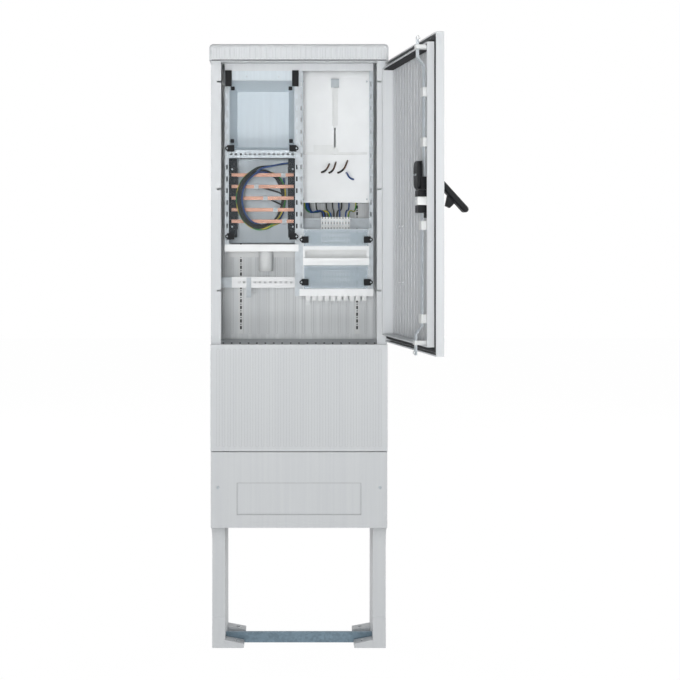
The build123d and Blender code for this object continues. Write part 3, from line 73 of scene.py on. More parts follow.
# Middles of the bars from top to bottom, of the clamps on them, and of the three terminal rows
BAR_LEVELS = np.array([1606, 1566, 1526, 1486, 1446]) * MM
CLAMP_PLACES = np.array([-54, -147, -115.8, -81, -50.5]) * MM
TERMINAL_LEVELS = np.array([1439.5, 1389, 1255.5]) * MM

# Step from one terminal to the next, and the rear rails' distance from the middle
TERMINAL_PITCH = 10 * MM
RAIL_X = 208 * MM

# Left, right, bottom and top edge of the field on the plinth's cover
PLINTH_FIELD = np.array([-207, 207, 465, 572]) * MM


def linear(code):
    """An sRGB hex colour as linear red, green, blue and full alpha."""
    srgb = np.array([int(code[i : i + 2], 16) for i in (1, 3, 5)]) / 255
    curve = ((srgb + 0.055) / 1.055) ** 2.4
    return (*np.where(srgb <= 0.04045, srgb / 12.92, curve).tolist(), 1.0)


def ends(node):
    """A node's lowest and highest corner as arrays."""
    return [np.array(corner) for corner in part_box(node)]


def low(node):
    """A node's lowest corner."""
    return ends(node)[0]


def high(node):
    """A node's highest corner."""
    return ends(node)[1]


def joint(name):
    """The frame's joint of that name."""
    return next(item for item in frame["joints"] if item["name"] == name)


def colour(label, code, description):
    """A colour property that starts from a hex value."""
    return bpy.props.FloatVectorProperty(
        name=label, description=description, subtype="COLOR", size=4, min=0, max=1, default=linear(code)
    )


def length(label, millimetres, description):
    """A length property that starts from a size in millimetres."""
    return bpy.props.FloatProperty(
        name=label, description=description, unit="LENGTH", min=0, default=millimetres * MM
    )


def number(label, amount, description, unit="NONE"):
    """A number property with its unit."""
    return bpy.props.FloatProperty(name=label, description=description, unit=unit, default=amount)


class BoardColours(bpy.types.PropertyGroup):
    """Colours of the finishes."""

    housing: colour("Housing", "#cccfd1", "Light grey of the moulded housing")
    housing_shade: colour("Housing shade", "#c8cbce", "Darker grey that streaks the housing")
    # Painted light: the rear wall is the housing's moulding in a lighter grey, to make up for the shade deep in
    # the board
    rear: colour("Rear wall", "#dcdfe0", "Lighter grey of the rear wall")
    polyamide: colour("Polyamide", "#121315", "Black of hooks, latches and holders")
    cover: colour("Clear cover", "#c3d2dc", "Faint blue of the clear covers")
    enamel: colour("Enamel", "#e6e8e9", "White of the stove-enamelled sheets")
    pale_plastic: colour("Pale plastic", "#dddfdf", "Light grey of terminals, guides and rails")
    tray: colour("Tray", "#c8d1d7", "Blue grey of the meter tray")
    zinc: colour("Zinc", "#c4cbd0", "Cool grey of zinc-plated steel")
    galvanised: colour("Galvanised", "#7f94a2", "Blue grey of the hot-dipped foot bar")
    copper: colour("Copper", "#e3b09a", "Salmon of the bare bars")
    brown_wire: colour("Brown insulation", "#4a3426", "Brown of the meter leads")
    black_wire: colour("Black insulation", "#17150f", "Brown black of the phase conductors")
    blue_wire: colour("Blue insulation", "#1d3b70", "Blue of the neutral conductors")
    earth_green: colour("Earth green", "#2f7a35", "Green half of the earth conductor")
    earth_yellow: colour("Earth yellow", "#b9ab3a", "Yellow half of the earth conductor")
    rubber: colour("Rubber", "#16171a", "Black of the door's seal")


class BoardSizes(bpy.types.PropertyGroup):
    """Sizes of the small pieces and the conductors."""

    large_screw: length("Large screw", 5.5, "Head radius of the screws in the plinth's covers")
    small_screw: length("Small screw", 3.2, "Head radius of the screws in panels, latches and lock")
    terminal_screw: length("Terminal screw", 2.6, "Head radius of the screws in the terminals")
    pad: length("Pad", 6.5, "Half size of the black pads on the covers' corners")
    coil_wire: length("Coil conductor", 2.9, "Radius of a conductor in the hung coil")
    lead_wire: length("Lead", 3.2, "Radius of the leads before the meter panel")
    drop_wire: length("Drop", 2.6, "Radius of the wires that go down to the terminals")
    strip: length("Seal strip", 3.0, "Thickness of the foam strip under the door's top rim")


class StudioSettings(bpy.types.PropertyGroup):
    """Camera and lamps."""

    distance: length("Camera distance", 4080, "From the camera to the middle of the board")
    eye_level: length("Camera height", 1346, "Height of the camera above the floor")
    lens: number("Lens", 62.34, "Focal length", "CAMERA")
    shift_x: number("Shift X", 0.0603, "Sideways shift of the lens")
    shift_y: number("Shift Y", -0.1319, "Upright shift of the lens")
    key: number("Key lamp", 24, "Power of the upper left lamp", "POWER")
    front: number("Front lamp", 194, "Power of the lamp in front", "POWER")
    side: number("Side lamp", 14, "Power of the right lamp", "POWER")
    rear: number("Rear lamps", 110, "Power of each lamp behind", "POWER")
    bounce: number("Bounce", 2, "Power of the low lamp", "POWER")
    ambient: number("Ambient", 0.24, "Light from all round")


def add_node(tree, kind, settings=None, inputs=None, links=None):
    """Add one shader node, set its properties and sockets, and link other nodes' outputs to it."""
    node = tree.nodes.new(kind)
    for key, value in (settings or {}).items():
        setattr(node, key, value)
    for key, value in (inputs or {}).items():
        node.inputs[key].default_value = value
    for key, source in (links or {}).items():
        tree.links.new(source, node.inputs[key])
    return node


def plain(name, **sockets):
    """A new material whose shader has these values on its own sockets."""
    material = bpy.data.materials.new(name)
    material.use_nodes = True
    shader = material.node_tree.nodes["Principled BSDF"]
    for key, value in sockets.items():
        shader.inputs[key.replace("_", " ")].default_value = value
    return material, material.node_tree, shader


def cloud(tree, patch, stretch=EVEN, detail=3):
    """A noise from 0 to 1 whose patches are that many millimetres wide, drawn out by the stretch."""
    place = add_node(tree, "ShaderNodeTexCoord")
    scale = [1 / factor for factor in stretch]
    mapped = add_node(
        tree, "ShaderNodeMapping", inputs={"Scale": scale}, links={"Vector": place.outputs["Object"]}
    )
    noise = add_node(
        tree,
        "ShaderNodeTexNoise",
        inputs={"Scale": 1 / (patch * MM), "Detail": detail},
        links={"Vector": mapped.outputs["Vector"]},
    )
    spread = add_node(
        tree,
        "ShaderNodeMapRange",
        inputs={"From Min": 0.3, "From Max": 0.7},
        links={"Value": noise.outputs["Fac"]},
    )
    return spread.outputs["Result"]


def coat(tree, shader, tone, shine, grain):
    """Finish a shader by three recipes, each led by an amount from 0 to 1.

    The tone blends two colours, the shine goes from a smooth to a rough value, and the grain raises the
    surface by a depth in millimetres. The blended colour is given back, for a finish that works on it."""
    amount, first, second = tone
    blend = add_node(
        tree,
        "ShaderNodeMix",
        settings={"data_type": "RGBA"},
        inputs={6: first, 7: second},
        links={0: amount},
    )
    tree.links.new(blend.outputs[2], shader.inputs["Base Color"])
    amount, smooth, rough = shine
    spread = add_node(
        tree, "ShaderNodeMapRange", inputs={"To Min": smooth, "To Max": rough}, links={"Value": amount}
    )
    tree.links.new(spread.outputs["Result"], shader.inputs["Roughness"])
    amount, depth = grain
    bump = add_node(
        tree, "ShaderNodeBump", inputs={"Strength": 1, "Distance": depth * MM}, links={"Height": amount}
    )
    tree.links.new(bump.outputs["Normal"], shader.inputs["Normal"])
    return blend.outputs[2]


def toned(colour_value, factor):
    """The same colour, darker with a factor under 1 and lighter with one over 1."""
    return (*[part * factor for part in colour_value[:3]], 1.0)


def moulded_polyester(name, colours):
    """Glass-filled polyester, hot pressed: a dull shell with faint upright flow marks and a fine fibre grain.

    The grain is drawn at 3 mm, coarser than the fibres, so that it shows. Painted shade: within 6 mm of a
    crease the colour darkens, as the moulding shades itself there. The rear wall's lighter grey is painted light,
    to make up for the shade it stands in."""
    light, shade = colours.housing, colours.housing_shade
    # Painted light: the rear wall takes a lighter copy of the housing's grey, which makes up for its shade
    if name == "rear_polyester":
        light, shade = colours.rear, colours.housing
    material, tree, shader = plain(name, IOR=1.55)
    flow = cloud(tree, 9, (1, 1, 60), detail=2)
    tone_before_shade = coat(
        tree, shader, (flow, light, shade), (flow, 0.44, 0.54), (cloud(tree, 3, detail=2), 0.02)
    )
    # Painted shade: within 6 mm of a crease the colour darkens towards 60 % of the light grey, as the moulding
    # shades itself there
    crease = add_node(
        tree,
        "ShaderNodeAmbientOcclusion",
        settings={"samples": 6, "only_local": True},
        inputs={"Distance": 6 * MM},
    )
    open_share = add_node(
        tree,
        "ShaderNodeMapRange",
        inputs={"From Min": 0.35, "From Max": 0.95},
        links={"Value": crease.outputs["AO"]},
    )
    creases_darkened = add_node(
        tree,
        "ShaderNodeMix",
        settings={"data_type": "RGBA"},
        inputs={6: toned(light, 0.6)},
        links={0: open_share.outputs["Result"], 7: tone_before_shade},
    )
    tree.links.new(creases_darkened.outputs[2], shader.inputs["Base Color"])
    return material


def hot_dipped_zinc(name, colours):
    """Hot-dipped steel: blue grey zinc with the flake pattern of its crystals, about 9 mm across."""
    material, tree, shader = plain(name, Metallic=0.6)
    place = add_node(tree, "ShaderNodeTexCoord")
    flake = add_node(
        tree,
        "ShaderNodeTexVoronoi",
        inputs={"Scale": 1 / (9 * MM)},
        links={"Vector": place.outputs["Object"]},
    )
    level = add_node(tree, "ShaderNodeSeparateColor", links={"Color": flake.outputs["Color"]})
    tone = (level.outputs["Red"], colours.galvanised, toned(colours.galvanised, 0.78))
    coat(tree, shader, tone, (level.outputs["Green"], 0.42, 0.6), (cloud(tree, 6), 0.08))
    return material


def striped_insulation(name, colours):
    """Two-colour vinyl: a green and a yellow stripe that wind round the wire, read from its own UV map.

    They turn once in 14 rows of the wire's grid, and the green one is a little wider."""
    material, tree, shader = plain(name, IOR=1.53)
    place = add_node(tree, "ShaderNodeTexCoord")
    around = add_node(tree, "ShaderNodeSeparateXYZ", links={"Vector": place.outputs["UV"]})
    wound = add_node(
        tree,
        "ShaderNodeMath",
        settings={"operation": "MULTIPLY_ADD"},
        inputs={1: 1 / 14},
        links={0: around.outputs["Y"], 2: around.outputs["X"]},
    )
    share = add_node(
        tree, "ShaderNodeMath", settings={"operation": "FRACT"}, links={0: wound.outputs["Value"]}
    )
    stripe = add_node(
        tree,
        "ShaderNodeMath",
        settings={"operation": "GREATER_THAN"},
        inputs={1: 0.55},
        links={0: share.outputs["Value"]},
    )
    ripple = cloud(tree, 2, detail=1)
    tone = (stripe.outputs["Value"], colours.earth_green, colours.earth_yellow)
    coat(tree, shader, tone, (ripple, 0.34, 0.46), (ripple, 0.05))
    return material


def grained(name, colours, base, tones, grain, shine, depth, spots=None, **sockets):
    """A material with one grain for its roughness and relief, coloured between two tones of one colour.

    The second tone comes in spots, which follow the grain where none are given. Grain and spots hold what a
    cloud takes: width in millimetres, stretch and detail."""
    material, tree, shader = plain(name, **sockets)
    first, second = [toned(getattr(colours, base), factor) for factor in tones]
    relief = cloud(tree, *grain)
    amount = cloud(tree, *spots) if spots else relief
    coat(tree, shader, (amount, first, second), (relief, *shine), (relief, depth))
    return material


# Soft vinyl, extruded on a wire: one deep colour, satin, with faint ripples left by the die at 2 mm
VINYL = dict(tones=(1, 1.5), grain=(2, EVEN, 1), shine=(0.34, 0.46), depth=0.05, spots=(20,), IOR=1.53)

RECIPES = {
    # Glass-filled polyester, a good deal darker and duller: painted shade for the sunk edges of the field on the
    # plinth's cover
    "scored_polyester": dict(
        base="housing", tones=(0.66, 0.82), grain=(30,), shine=(0.7, 0.85), depth=0.05, IOR=1.55
    ),
    # Glass-filled polyamide, injected: black with a satin spark-eroded texture of about 1.5 mm
    "moulded_polyamide": dict(
        base="polyamide",
        tones=(1, 1.7),
        grain=(1.5, EVEN, 2),
        shine=(0.36, 0.5),
        depth=0.06,
        spots=(25,),
        IOR=1.53,
        Specular_IOR_Level=0.25,
    ),
    # Clear polycarbonate sheet: faintly blue, glossy, with a slight waviness from the mould. It is drawn as a
    # thin see-through skin, so that light still reaches what is behind it
    "drawn_polycarbonate": dict(
        base="cover", tones=(1, 0.93), grain=(70,), shine=(0.06, 0.12), depth=0.3, IOR=1.58, Alpha=0.025
    ),
    # Polycarbonate with a fine etched back: the same faint blue, milky, so that the rows only show through
    "hazed_polycarbonate": dict(
        base="cover", tones=(1, 0.93), grain=(40,), shine=(0.16, 0.24), depth=0.2, IOR=1.58, Alpha=0.36
    ),
    # Stove-enamelled sheet steel: white and half glossy, with the orange peel of sprayed paint at 4 mm
    "stove_enamel": dict(
        base="enamel",
        tones=(1, 0.95),
        grain=(4, EVEN, 1),
        shine=(0.32, 0.42),
        depth=0.04,
        spots=(80,),
        IOR=1.5,
    ),
    # Light grey injected plastic: even, satin, with a fine mould texture of 1.2 mm
    "pale_thermoplastic": dict(
        base="pale_plastic",
        tones=(1, 0.94),
        grain=(1.2, EVEN, 1),
        shine=(0.4, 0.5),
        depth=0.03,
        spots=(40,),
        IOR=1.5,
    ),
    # Deep-drawn blue grey plastic: satin, with faint upright draw marks 8 mm apart
    "tray_thermoplastic": dict(
        base="tray", tones=(1, 0.93), grain=(8, (1, 1, 40), 1), shine=(0.4, 0.5), depth=0.04, IOR=1.5
    ),
    # Zinc-plated rolled steel: a pale cool metal with drawn streaks and dull spots
    "zinc_plate": dict(
        base="zinc",
        tones=(1, 0.84),
        grain=(5, (1, 1, 8)),
        shine=(0.36, 0.5),
        depth=0.02,
        spots=(22,),
        Metallic=0.35,
    ),
    # Drawn copper bar: bright metal with long fine draw lines and a little tarnish
    "drawn_copper": dict(
        base="copper",
        tones=(1, 0.72),
        grain=(1.5, (30, 1, 1)),
        shine=(0.24, 0.36),
        depth=0.03,
        spots=(30, (2, 1, 1)),
        Metallic=0.75,
    ),
    "brown_vinyl": dict(VINYL, base="brown_wire"),
    "black_vinyl": dict(VINYL, base="black_wire"),
    "blue_vinyl": dict(VINYL, base="blue_wire"),
    # Cellular rubber: black and dull, with open pores of about 1.5 mm
    "sponge_rubber": dict(
        base="rubber", tones=(1, 1.8), grain=(1.5,), shine=(0.72, 0.88), depth=0.2, IOR=1.52
    ),
}

# Finishes with a pattern of their own
MAKERS = {
    "moulded_polyester": moulded_polyester,
    "rear_polyester": moulded_polyester,
    "hot_dipped_zinc": hot_dipped_zinc,
    "striped_insulation": striped_insulation,
}

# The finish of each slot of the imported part
SLOT_FINISH = {
    "grp_light_grey": "moulded_polyester",
    "black_polyamide": "moulded_polyamide",
    "clear_polycarbonate": "drawn_polycarbonate",
    "white_enamel": "stove_enamel",
    "pale_grey_plastic": "pale_thermoplastic",
    "zinc_steel": "zinc_plate",
    "copper": "drawn_copper",
    "black_insulation": "black_vinyl",
    "blue_insulation": "blue_vinyl",
    "green_yellow_insulation": "striped_insulation",
    "seal_rubber": "sponge_rubber",
}

# Nodes whose finish is not that of their slot
NODE_FINISH = {
    "foot_cross_bar": "hot_dipped_zinc",
    # Painted light: the rear wall gets a lighter grey than the housing, to make up for its shade
    "rear_wall": "rear_polyester",
    "row_clear_covers": "hazed_polycarbonate",
    "cable_clamp_rail": "stove_enamel",
    "meter_rail": "pale_thermoplastic",
    "meter_crossbar": "pale_thermoplastic",
    "rear_mounting_rails": "pale_thermoplastic",
    "frame_hinge_knuckles": "pale_thermoplastic",
    "door_hinge_leaves": "pale_thermoplastic",
    "upper_box": "tray_thermoplastic",
    "busbar_base": "tray_thermoplastic",
    "hanging_clamp": "zinc_plate",
    "meter_hook": "zinc_plate",
    "clamp_rail_bracket": "zinc_plate",
}

# The slot of a new piece follows from its finish
FINISH_SLOT = {name: slot for slot, name in SLOT_FINISH.items()}
FINISH_SLOT.update(brown_vinyl="black_insulation", scored_polyester="grp_light_grey")


def finish(name):
    """The material of that name, made the first time that it is asked for."""
    made = bpy.data.materials.get(name)
    colours = bpy.context.scene.board_colours
    if made is None and name in RECIPES:
        made = grained(name, colours, **RECIPES[name])
    return made or MAKERS[name](name, colours)


def piece(name, grids, finish_name, body="housing"):
    """One object from grids of points, each closed round its columns and capped at both ends.

    The UV map runs from 0 to 1 round the columns and by one unit a row along the rows."""
    corners = []
    faces = []
    marks = []
    start = 0
    for grid in grids:
        rows, columns = grid.shape[:2]
        index = start + np.arange(rows * columns).reshape(rows, columns)
        onward = np.roll(index, -1, axis=1)
        quads = np.stack([index[:-1], onward[:-1], onward[1:], index[1:]], axis=-1)
        faces += quads.reshape(-1, 4).tolist()
        faces += [index[0, ::-1].tolist(), index[-1].tolist()]
        row, column = np.mgrid[0 : rows - 1, 0:columns]
        around = np.stack([column, column + 1, column + 1, column], axis=-1) / columns
        along = np.stack([row, row, row + 1, row + 1], axis=-1)
        marks.append(np.stack([around, along], axis=-1).reshape(-1, 2))
        marks.append(np.zeros((2 * columns, 2)))
        corners.append(grid.reshape(-1, 3))
        start += rows * columns
    mesh = bpy.data.meshes.new(name)
    mesh.from_pydata(np.concatenate(corners), [], faces)
    layer = mesh.uv_layers.new(name="around")
    layer.data.foreach_set("uv", np.concatenate(marks).astype(np.float32).ravel())
    shape = bmesh.new()
    shape.from_mesh(mesh)
    bmesh.ops.remove_doubles(shape, verts=shape.verts, dist=1e-6)
    bmesh.ops.recalc_face_normals(shape, faces=shape.faces)
    shape.to_mesh(mesh)
    shape.free()
    mesh.shade_smooth()
    mesh.set_sharp_from_angle(angle=math.radians(40))
    mesh.materials.append(finish(finish_name))
    made = bpy.data.objects.new(name, mesh)
    bpy.context.scene.collection.objects.link(made)
    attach(made, body)
    return made


def square_to(out):
    """Three unit vectors at right angles: across, up and along the given direction."""
    axis = np.asarray(out, float) / np.linalg.norm(out)
    guide = UP if abs(axis[2]) < 0.9 else FORWARD
    across = np.cross(guide, axis)
    across /= np.linalg.norm(across)
    return across, np.cross(axis, across), axis


def lathe(profile, centre, out, sides):
    """A profile of (radius, height) turned round an axis: centre + height along it + radius round it."""
    across, up, axis = square_to(out)
    turn = np.linspace(0, 2 * np.pi, sides, endpoint=False)
    ring = np.cos(turn)[:, None] * across + np.sin(turn)[:, None] * up
    radius, height = np.asarray(profile, float).T
    return np.asarray(centre) + height[:, None, None] * axis + radius[:, None, None] * ring


def screw(centre, out, radius, turn=0.0):
    """A low domed head with a cross recess.

    Over the disc the height is a flat dome, 0.55 + 0.45 * sqrt(1 - (r / R) ** 2) of the full height, and it
    drops where a point lies within an arm of the cross. The first two rows are the skirt down to the seat."""
    tall = 0.55 * radius
    recess = 0.5
    arm_half = 0.13
    arm_long = 0.58
    share = np.array([1.0, 1.0, 0.94, 0.8, 0.62, 0.5, 0.36, 0.22, 0.1, 0.0])
    dome = 0.55 + 0.45 * np.sqrt(1 - share**2)
    dome[:2] = 0, 0.5
    angle = np.linspace(0, 2 * np.pi, 32, endpoint=False)
    side = share[:, None] * np.cos(angle)
    away = share[:, None] * np.sin(angle)
    first_arm = (np.abs(side) < arm_half) & (np.abs(away) < arm_long)
    second_arm = (np.abs(away) < arm_half) & (np.abs(side) < arm_long)
    height = tall * (dome[:, None] - recess * (first_arm | second_arm))
    across, up, axis = square_to(out)
    turned_across = np.cos(turn) * across + np.sin(turn) * up
    turned_up = -np.sin(turn) * across + np.cos(turn) * up
    flat = side[..., None] * turned_across + away[..., None] * turned_up
    return np.asarray(centre) + radius * flat + height[..., None] * axis


def rounded_block(centre, half, axes=None, power=0.3):
    """A box with soft edges: a superellipsoid, whose cosines and sines are raised to a small power."""

    def bend(value):
        return np.sign(value) * np.abs(value) ** power

    axes = np.eye(3) if axes is None else np.asarray(axes)
    rise = np.linspace(-np.pi / 2, np.pi / 2, 13)[:, None]
    turn = np.linspace(0, 2 * np.pi, 28, endpoint=False)[None, :]
    local = np.stack(
        [
            half[0] * bend(np.cos(rise)) * bend(np.cos(turn)),
            half[1] * bend(np.cos(rise)) * bend(np.sin(turn)),
            half[2] * bend(np.sin(rise)) * np.ones_like(turn),
        ],
        axis=-1,
    )
    return np.asarray(centre) + local @ axes


def smooth_path(route):
    """Points along a NURBS spline of order 3 whose control points are the route's points."""
    route = np.asarray(route, float)
    curve = bpy.data.curves.new("route", "CURVE")
    curve.dimensions = "3D"
    spline = curve.splines.new("NURBS")
    spline.points.add(len(route) - 1)
    spline.points.foreach_set("co", np.column_stack([route, np.ones(len(route))]).ravel())
    spline.order_u = 3
    spline.use_endpoint_u = True
    spline.resolution_u = 6
    holder = bpy.data.objects.new("route", curve)
    mesh = bpy.data.meshes.new_from_object(holder)
    points = np.empty(len(mesh.vertices) * 3)
    mesh.vertices.foreach_get("co", points)
    bpy.data.objects.remove(holder)
    bpy.data.curves.remove(curve)
    bpy.data.meshes.remove(mesh)
    return points.reshape(-1, 3)


def tube(points, radius, guide, sides=12):
    """A circle carried along a path.

    Each ring stands square to the path, with its first point square to the guide."""
    along = np.gradient(points, axis=0)
    along /= np.linalg.norm(along, axis=1, keepdims=True)
    across = np.cross(along, guide)
    across /= np.linalg.norm(across, axis=1, keepdims=True)
    up = np.cross(across, along)
    turn = np.linspace(0, 2 * np.pi, sides, endpoint=False)[None, :, None]
    return points[:, None] + radius * (np.cos(turn) * across[:, None] + np.sin(turn) * up[:, None])


class BOARD_OT_housing(bpy.types.Operator):
    """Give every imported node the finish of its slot, or its own where it has one"""

    bl_idname = "board.dress_nodes"
    bl_label = "Dress the nodes"

    def execute(self, context):
        for part in frame["record"]["subparts"]:
            node = part["node"]
            mesh = frame["nodes"][node].data
            mesh.materials.clear()
            mesh.materials.append(finish(NODE_FINISH.get(node, SLOT_FINISH[part["material_slot"]])))
        return {"FINISHED"}


class BOARD_OT_coil(bpy.types.Operator):
    """Hang the coil of spare conductors on the bars, with one end of each behind its bar's clamp"""

    bl_idname = "board.hang_coil"
    bl_label = "Hang the coil"

    def execute(self, context):
        radius = context.scene.board_sizes.coil_wire
        lean = math.radians(28)
        out = np.array([math.sin(lean), -math.cos(lean), 0.0])
        flat = np.array([math.cos(lean), math.sin(lean), 0.0])
        ring_low, ring_high = ends("conductor_coil")
        centre = (ring_low + ring_high) / 2
        span = ring_high - ring_low
        ring_thickness = 12 * MM
        ring_width = 16 * MM
        tall = span[2] / 2 - ring_width
        wide = (span[0] - ring_thickness * math.sin(lean)) / (2 * math.cos(lean)) - ring_width
        bar_back = high("busbars")[1]
        # Each conductor's places in the bundle on its first and its second turn, from the bundle's middle in
        # millimetres: outwards and to the front. Last comes how far before its bar it leaves the ring.
        strands = (
            ("blue_vinyl", (-6, 9), (-6, 3), 1.2),
            ("black_vinyl", (6, 9), (0, 9), 0.25),
            ("black_vinyl", (6, 3), (0, 3), 0.25),
            ("black_vinyl", (6, -3), (0, -3), 0.25),
            ("striped_insulation", (6, -9), (0, -9), 0.25),
        )
        first_angle = math.radians(75)
        laid_angle = math.radians(120)
        # The bundle's middle from the ring's inner edge, and where a conductor starts, in millimetres
        middle = 9
        start_lane = 17
        web = -1.6 * MM
        made = []
        for i, (finish_name, first, second, before) in enumerate(strands):
            bar_z = BAR_LEVELS[i]
            rise = math.asin((bar_z - centre[2]) / (tall + middle * MM))
            last_angle = 4 * math.pi + rise - before
            turn = np.linspace(first_angle, last_angle, 32)
            changed = self.ease(turn, last_angle - 2 * math.pi, first_angle + 2 * math.pi)
            lifted = 1 - self.ease(turn, first_angle, laid_angle)
            outward = first[0] + changed * (second[0] - first[0])
            forward = first[1] + changed * (second[1] - first[1])
            # The bundle turns over at the bottom and back again at the upper right
            spot = np.degrees(turn) % 360
            twist = math.pi * (self.ease(spot, 235, 300) + 1 - self.ease(spot, 20, 75))
            lane = middle + outward * np.cos(twist) - forward * np.sin(twist)
            layer = outward * np.sin(twist) + forward * np.cos(twist)
            # A conductor starts off the bundle and wavers by a millimetre or two, as bent wire does
            lane += (start_lane - first[0]) * lifted + 1.6 * np.sin(2 * turn + 1) + np.sin(5 * turn)
            layer += (4 if first[0] > 0 else 10) * lifted + 1.5 * np.sin(3 * turn)
            ring = (
                centre
                + ((wide + lane * MM) * np.cos(turn))[:, None] * flat
                + ((tall + lane * MM) * np.sin(turn))[:, None] * UP
                + (layer * MM)[:, None] * out
            )
            # It comes out of the upright's web at the upper right and ends behind the clamp
            exit_y = (2 + 8 * i) * MM
            head = [(web, exit_y, 1.646), (-0.030, exit_y, 1.650), (-0.066, 0.6 * exit_y, 1.645)]
            end_x = CLAMP_PLACES[i]
            gap = ring[-1][0] - end_x
            level = ring[-1][2] + 0.55 * (bar_z - ring[-1][2])
            tail = [
                (end_x + 0.55 * gap, 0.024, level),
                (end_x + 0.12 * gap, 0.018, bar_z),
                (end_x, bar_back - 0.0004, bar_z),
            ]
            path = smooth_path(np.concatenate([head, ring, tail]))
            grid = tube(path, radius, (0.21, 0.13, 0.97) if i % 2 else (0.3, 0.5, 0.81))
            strand = piece(f"coil_conductor_{i + 1}", [grid], finish_name)
            made.append(strand)
        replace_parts(made[1], "conductor_coil")
        return {"FINISHED"}

    def ease(self, value, start, end):
        """A smooth step from 0 at the start to 1 at the end: 3 t ** 2 - 2 t ** 3."""
        share = np.clip((value - start) / (end - start), 0, 1)
        return share * share * (3 - 2 * share)


class BOARD_OT_wires(bpy.types.Operator):
    """Lay the leads before the meter panel and the drops to the terminals"""

    bl_idname = "board.lay_wires"
    bl_label = "Lay the wires"

    def execute(self, context):
        sizes = context.scene.board_sizes
        leads = self.lay_leads(sizes.lead_wire)
        self.lay_drops(sizes.drop_wire)
        for lead in leads[:3]:
            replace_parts(lead, "black_wires")
        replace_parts(leads[3], "blue_wires")
        return {"FINISHED"}

    def lay_leads(self, radius):
        """Three capped brown leads and a bare blue one, which bend out of the panel and hang down."""
        panel_y = low("meter_panel")[1]
        guide = (0.9, 0.1, 0.43)
        # Where each leaves the panel, in millimetres, and its shares of the full fall and sideways lean
        leads = (
            (105.9, 1648.1, 0.8, -0.93),
            (129, 1654, 1, -0.83),
            (170, 1660, 1.15, -1.2),
            (166, 1617.2, 0.65, 0.75),
        )
        full_lean = 30
        full_reach = 58
        full_fall = 40
        cap_start = 0.72
        # Shares of reach, fall and lean at the four control points of a lead
        reach, drop, sideways = np.array([(0, 0, 0), (0.448, 0, 0), (0.759, 0.86, 0.45), (1, 1, 1)]).T
        made = []
        for i, (x, z, fall_share, lean) in enumerate(leads):
            ahead = -full_reach * reach
            route = np.stack(
                [x + full_lean * lean * sideways, ahead, z - full_fall * fall_share * drop], axis=-1
            )
            route *= MM
            route[:, 1] += panel_y
            path = smooth_path(route)
            grid = tube(path, radius, guide)
            if i < 3:
                lead = piece(f"meter_lead_{i + 1}", [grid], "brown_vinyl")
                cap = tube(path[int(cap_start * len(path)) :], 1.12 * radius, guide)
                piece(f"lead_cap_{i + 1}", [cap], "black_vinyl")
            else:
                lead = piece("neutral_lead", [grid], "blue_vinyl")
            made.append(lead)
        return made

    def lay_drops(self, radius):
        """Wires that fall from behind the panel, bend sideways and go down into the terminals."""
        drop_y = low("meter_panel")[1] + 8 * MM
        panel_bottom = low("meter_panel")[2]
        block_low, block_high = ends("terminal_blocks")
        terminal_top = block_high[2]
        terminal_y = (block_low[1] + block_high[1]) / 2
        first_terminal = block_low[0] + 5 * MM
        fall = panel_bottom - terminal_top
        # Where each wire starts, in millimetres, and the terminal it goes to
        kinds = (
            ("black", "black_vinyl", "black_wires", ((59.9, 0), (95.9, 2), (118, 4), (150, 5), (36, 1))),
            ("blue", "blue_vinyl", "blue_wires", ((139.9, 6), (175.9, 8), (26, 0.5), (31, 3))),
            ("earth", "striped_insulation", "earth_wire", ((200, 9), (20, 2.5))),
        )
        for kind, finish_name, node, drops in kinds:
            grids = []
            for start, place in drops:
                start_x = start * MM
                end_x = first_terminal + TERMINAL_PITCH * place
                slack = min(0.4, abs(end_x - start_x) / 0.1)
                route = [
                    (start_x, drop_y, panel_bottom),
                    (start_x, drop_y, panel_bottom - (0.4 + slack) * fall),
                    (end_x, terminal_y, terminal_top + (0.45 + 0.3 * slack) * fall),
                    (end_x, terminal_y, terminal_top),
                ]
                grids.append(tube(smooth_path(route), radius, (0.94, 0.3, 0.1)))
            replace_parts(piece(f"{kind}_conductors", grids, finish_name), node)


